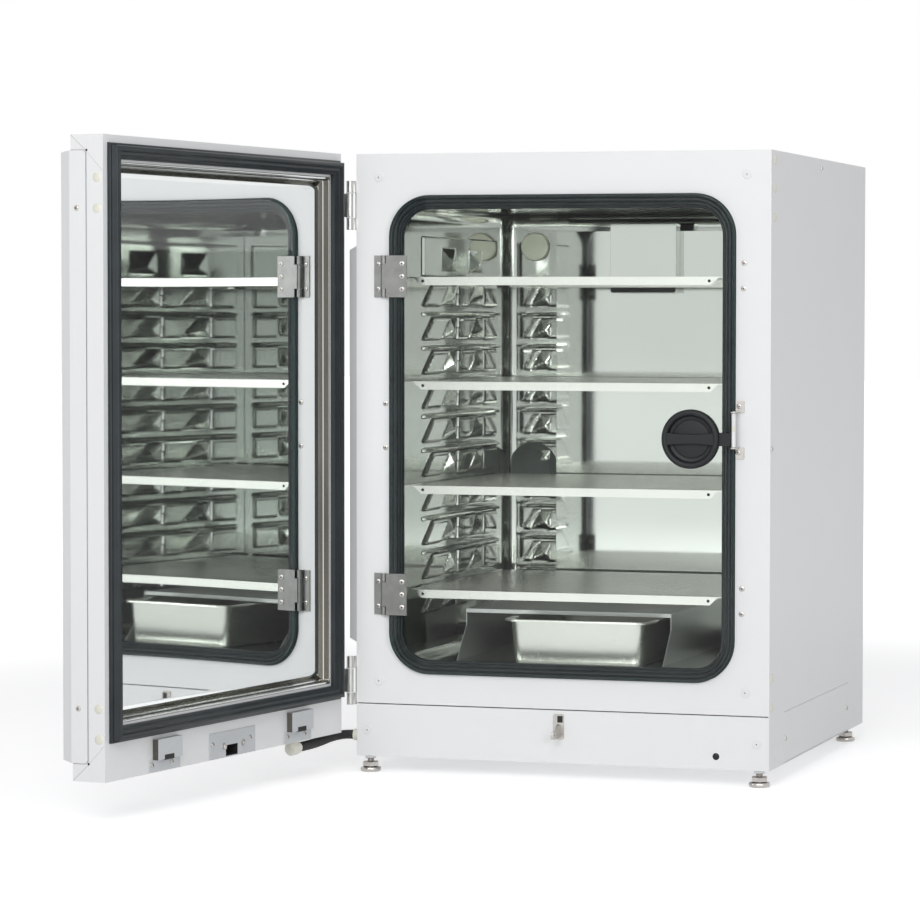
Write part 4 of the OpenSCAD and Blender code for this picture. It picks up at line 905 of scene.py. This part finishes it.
def door_pan():
    """Inner sheet of the door: a frame round the mirror with the lock's window and turned-back edges."""
    xs = (-HALF_W, -TRAY[0] - 0.4, LOCK[0], LOCK[1], TRAY[0] + 0.4, HALF_W)
    hs = (DOOR_LOW, LOCK[2], LOCK[3], TRAY[1] - 0.4, TRAY[2] + 0.4, BODY_H)
    sheet, deep = 1.2, 25.0
    last = len(xs) - 1
    verts, index, faces = [], {}, []

    def corner(i, j, pulled, t):
        if (i, j, pulled, t) not in index:
            x = xs[i] + pulled * sheet * ((i == 0) - (i == last))
            h = hs[j] + pulled * sheet * ((j == 0) - (j == last))
            index[i, j, pulled, t] = len(verts)
            verts.append((x, INNER - t, h))
        return index[i, j, pulled, t]

    open_cells = {(1, 3), (2, 3), (3, 3), (2, 1)}
    for i in range(last):
        for j in range(last):
            if (i, j) in open_cells:
                continue
            ends = ((i, j), (i + 1, j), (i + 1, j + 1), (i, j + 1))
            faces += [[corner(*e, 0, 0) for e in ends], [corner(*e, 1, sheet) for e in ends]]
            neighbours = ((i, j - 1), (i + 1, j), (i, j + 1), (i - 1, j))
            for a, b, beside in zip(ends, ends[1:] + ends[:1], neighbours):
                if beside in open_cells:
                    steps = ((0, 0), (1, sheet))
                elif min(beside) < 0 or max(beside) == last:
                    steps = ((0, 0), (0, deep), (1, deep), (1, sheet))
                else:
                    continue
                faces += [[corner(*a, *p), corner(*b, *p), corner(*b, *q), corner(*a, *q)]
                          for p, q in zip(steps, steps[1:])]
    build("door_pan", Shape().add(verts, faces), "white_paint", "outer_door", bevel=0.5,
          replaces="door_inner_frame")


def mirror_tray():
    """Polished tray of the outer door: its border with a dull wall, and its slightly bulging floor."""
    half_x, h0, h1 = TRAY
    profile = [(0.3, 0.9), (0.6, 0.3), (2.4, 0.2), (3.2, 0.6), (3.6, 1.6), (3.8, 8), (4.4, 9.3), (5.6, 9.9),
               (7, 10)]
    middle = (h0 + h1) / 2
    rings = []
    for inset, t in profile:
        ring = round_rect(2 * (half_x - inset), h1 - h0 - 2 * inset, max(1.0, 7 - inset), 5, (0, middle))
        rings.append([(x, INNER - t, h) for x, h in ring])
    count = len(rings[0])
    shape = Shape().loops(rings, caps=False)
    shape.marks = [int(3 <= k // count <= 5) for k in range(len(shape.marks))]
    build("mirror_border", shape, "mirror_steel", "outer_door", mats="mirror_steel tray_wall", sharp=50,
          thick=0.8, replaces="door_liner")
    across, up, bulge, last = 40, 52, 0.55, profile[-1][0] - 0.6
    verts = []
    for q in np.linspace(-1, 1, up + 1):
        for r in np.linspace(-1, 1, across + 1):
            t = 10.05 - bulge * (1 - r * r) * (1 - q * q)
            verts.append((r * (half_x - last), INNER - t, middle + q * ((h1 - h0) / 2 - last)))
    row = across + 1
    faces = [(j * row + i, j * row + i + 1, (j + 1) * row + i + 1, (j + 1) * row + i)
             for j in range(up) for i in range(across)]
    build("mirror_floor", Shape().add(verts, faces), "mirror_steel", "outer_door", thick=0.8)


def door_seal():
    """Stepped gasket of the outer door with mitred corners."""
    x1, h0, h1 = 300.0, 84.5, 866.5

    def outline(inset):
        a, b, c = x1 - inset, h0 + inset, h1 - inset
        return [(a, b), (a, c), (-a, c), (-a, b)]

    profile = [(0, 0), (0, 4), (0.8, 5.2), (2.4, 5.6), (3.2, 7), (3.6, 12.6), (5, 14), (8.6, 14.3),
               (10.2, 13.2), (11, 11.4), (12.2, 11), (14.4, 11.6), (16.2, 10.8), (17.4, 8.6), (18.8, 8.2),
               (20.4, 7.2), (21, 5.4), (21, 0)]
    shape = Shape().loops(framed(outline, [(i, INNER + p) for i, p in profile]), closed=True)
    build("door_seal", shape, "gasket_rubber", "outer_door", sharp=50, replaces="door_gasket")
    mitres = Shape()
    for sx, h, up in ((1, h0, 1), (-1, h0, 1), (1, h1, -1), (-1, h1, -1)):
        rings = []
        for inset, p in profile[3:-2]:
            x, y = sx * (x1 - inset), h + up * inset
            rings.append([(x + 0.35 * sx * e, INNER + p + f, y - 0.35 * up * e) for e, f in
                          ((-1, 0.02), (1, 0.02), (1, -0.4), (-1, -0.4))])
        mitres.loops(rings)
    build("seal_mitres", mitres, "gasket_rubber", "outer_door", mats="recess_black")


def door_seams():
    """Filler strip between the door's two pans, the mitre lines of its free edge and the flange's groove."""
    shape = Shape()

    def line(points, width, mark, x=HALF_W + 0.1):
        for (t0, a0), (t1, a1) in zip(points, points[1:]):
            along = Vector((0, -(t1 - t0), a1 - a0)).normalized()
            over = Vector(RIGHT).cross(along) * width / 2
            deep = Vector((0.4, 0, 0))
            ends = Vector((x, INNER - t0, a0)), Vector((x, INNER - t1, a1))
            shape.loops([[p - over, p + over, p + over - deep, p - over - deep] for p in ends], mark=mark)

    for low, high, near in ((876.5, 855, 830), (34.5, 57, 82)):
        line([(49.5, low), (25, high)], 0.5, 0)
        line([(25, high), (1, near)], 0.3, 0)
    line([(25.2, 59), (25.2, 855)], 0.8, 2)
    for h in (57.5, 856.5):
        shape.lathe([(1.6, 0), (1.6, 0.25)], (HALF_W, INNER - 25.2, h), RIGHT, 14, mark=1)
    flange = [(50, 856.9), (32, 856.9)]
    flange += [(32 - 6 * math.sin(a), 850.9 + 6 * math.cos(a)) for a in np.radians(np.linspace(0, 90, 7))]
    flange += [(t, 914 - h) for t, h in flange[::-1]]
    line(flange, 0.7, 0)
    build("door_seams", shape, "white_paint", "outer_door", mats="seam recess_black filler")


def display():
    """Generic display in the panel's recess and four blank keys on the panel, on the door's outside."""
    shape = Shape()
    shape.box(-59, 59, PANEL_FACE + 0.5, PANEL_FACE + 1.4, 719, 777)
    for i in range(4):
        shape.box(-90, -70, PANEL_FACE - 1, PANEL_FACE + 0.4, 716 + 16 * i, 727 + 16 * i, mark=1)
    build("display", shape, "black_plastic", "outer_door", mats="screen key_grey", bevel=0.3)


# ---- hinges, rail, conduit


def hinge_washers():
    """White washers between the knuckles of the outer hinges."""
    shape = Shape()
    washer = [(2.9, 0), (5.6, 0), (5.9, 0.3), (5.9, 1.2), (5.6, 1.5), (2.9, 1.5)]
    for base in (75, 767):
        for h in (base + 17.05, base + 52.45):
            shape.lathe(washer, (-318, -6, h), UP, 28)
    build("hinge_washers", shape, "white_plastic", "root")


def side_rail():
    """Bevelled strip between the hinges: a grey carrier with a black insert."""
    *_, h0, h1 = box_mm("hinge_side_rail")
    shape = Shape()
    outline = [(-310, h0), (-321, h0 + 6), (-321, h1 - 6), (-310, h1)]
    shape.extrude(outline, 1, 3.4)
    shape.extrude(outline, 9.6, 12)
    core = [(-310, h0 + 1), (-319.8, h0 + 6.4), (-319.8, h1 - 6.4), (-310, h1 - 1)]
    shape.extrude(core, 3.4, 9.6, mark=1)
    build("side_rail", shape, "black_rubber", "root", mats="rail_grey black_rubber", bevel=0.3,
          replaces="hinge_side_rail")


# The conduit's centre line from the cabinet to the open door
CONDUIT = [(-318.3, 12, 29), (-324, 12, 29), (-331, 10.5, 28.8), (-338, 6.5, 28.1), (-343.6, 0, 27.2),
           (-347, -9, 26.3), (-348.6, -20, 25.5), (-349.2, -34, 24.8), (-349.8, -50, 24.2),
           (-350.6, -68, 23.8), (-352.8, -91.5, 23.6), (-355.7, -109.4, 23.5), (-356.9, -116.7, 23.5)]


def smooth_route(points, steps):
    """Catmull-Rom curve through the points."""
    pts = [Vector(p) for p in points]
    pts = [pts[0] * 2 - pts[1], *pts, pts[-1] * 2 - pts[-2]]
    route = []
    for i in range(1, len(pts) - 2):
        a, b, c, e = pts[i - 1:i + 3]
        for k in range(steps):
            t = k / steps
            square, cube = 2 * a - 5 * b + 4 * c - e, 3 * b - a - 3 * c + e
            route.append(0.5 * (2 * b + (c - a) * t + square * t * t + cube * t ** 3))
    return route + [pts[-2]]


def conduit():
    """Corrugated conduit from the cabinet to the open door."""
    route = smooth_route(CONDUIT, 14)
    run = np.concatenate([[0], np.cumsum([(b - a).length for a, b in zip(route, route[1:])])])
    count, sides, ribs = 300, 18, 3.1
    rings = []
    for s in np.linspace(0, run[-1], count):
        i = min(int(np.searchsorted(run, s, "right")) - 1, len(route) - 2)
        t = (s - run[i]) / max(1e-6, run[i + 1] - run[i])
        at = route[i].lerp(route[i + 1], t)
        along = (route[i + 1] - route[i]).normalized()
        side = along.cross(Vector((0, 0, 1))).normalized()
        up = side.cross(along)
        radius = 6.35 + 0.75 * (0.5 + 0.5 * math.cos(2 * math.pi * s / ribs))
        rings.append([at + (side * math.cos(a) + up * math.sin(a)) * radius
                      for a in np.linspace(0, 2 * math.pi, sides, endpoint=False)])
    shape = Shape().loops(rings)
    piece = build("corrugated_conduit", shape, "black_rubber", None, sharp=70, replaces="conduit")
    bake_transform(piece)


# ---- putting it together

for node, obj in frame["nodes"].items():
    if not obj.data.materials:
        obj.data.materials.append(None)
    obj.material_slots[0].material = FINISH[SLOT_OF[node]]

for make in (chamber, chamber_rim, floor_vents, fan_slot, chamber_seal):
    make()
for number in range(1, 5):
    shelf(number)
for make in (pan, cabinet_screws, caps, door_fasteners, catch_and_lock_details, strike, feet, knob,
             glass_rim, keeper_details, door_pan, mirror_tray, door_seal, door_seams, display,
             hinge_washers, side_rail, conduit):
    make()

for node in ("cabinet_shell", "front_frame", "lower_front_panel", "back_panel", "service_panel",
             "door_outer_shell", "door_front_cover"):
    refine(node, bevel=0.7)
# Small nodes, with the finish of each that differs from its slot's
for node, mat in (("door_catches", "catch_grey"), ("lock_case", "catch_grey"), ("rear_spacers", None),
                  ("control_panel", None), ("keeper_bracket", None), ("pan_cover", "hood_steel"),
                  ("duct_cover", "bright_steel"), ("fan_housing", "bright_steel"),
                  ("glass_hinge_frame_leaves", "leaf_steel"), ("glass_hinge_door_leaves", "leaf_steel"),
                  ("power_inlet", None), ("outer_hinge_cabinet_halves", None),
                  ("outer_hinge_door_leaves", None), ("sensor_disc", "disc_grey"),
                  ("conduit_grommet", None), ("conduit_gland", None)):
    refine(node, bevel=0.35, mat=mat)
for node in ("port_plug_inner", "port_plug_outer"):
    refine(node, bevel=2.0, segments=4, mat="port_silicone")
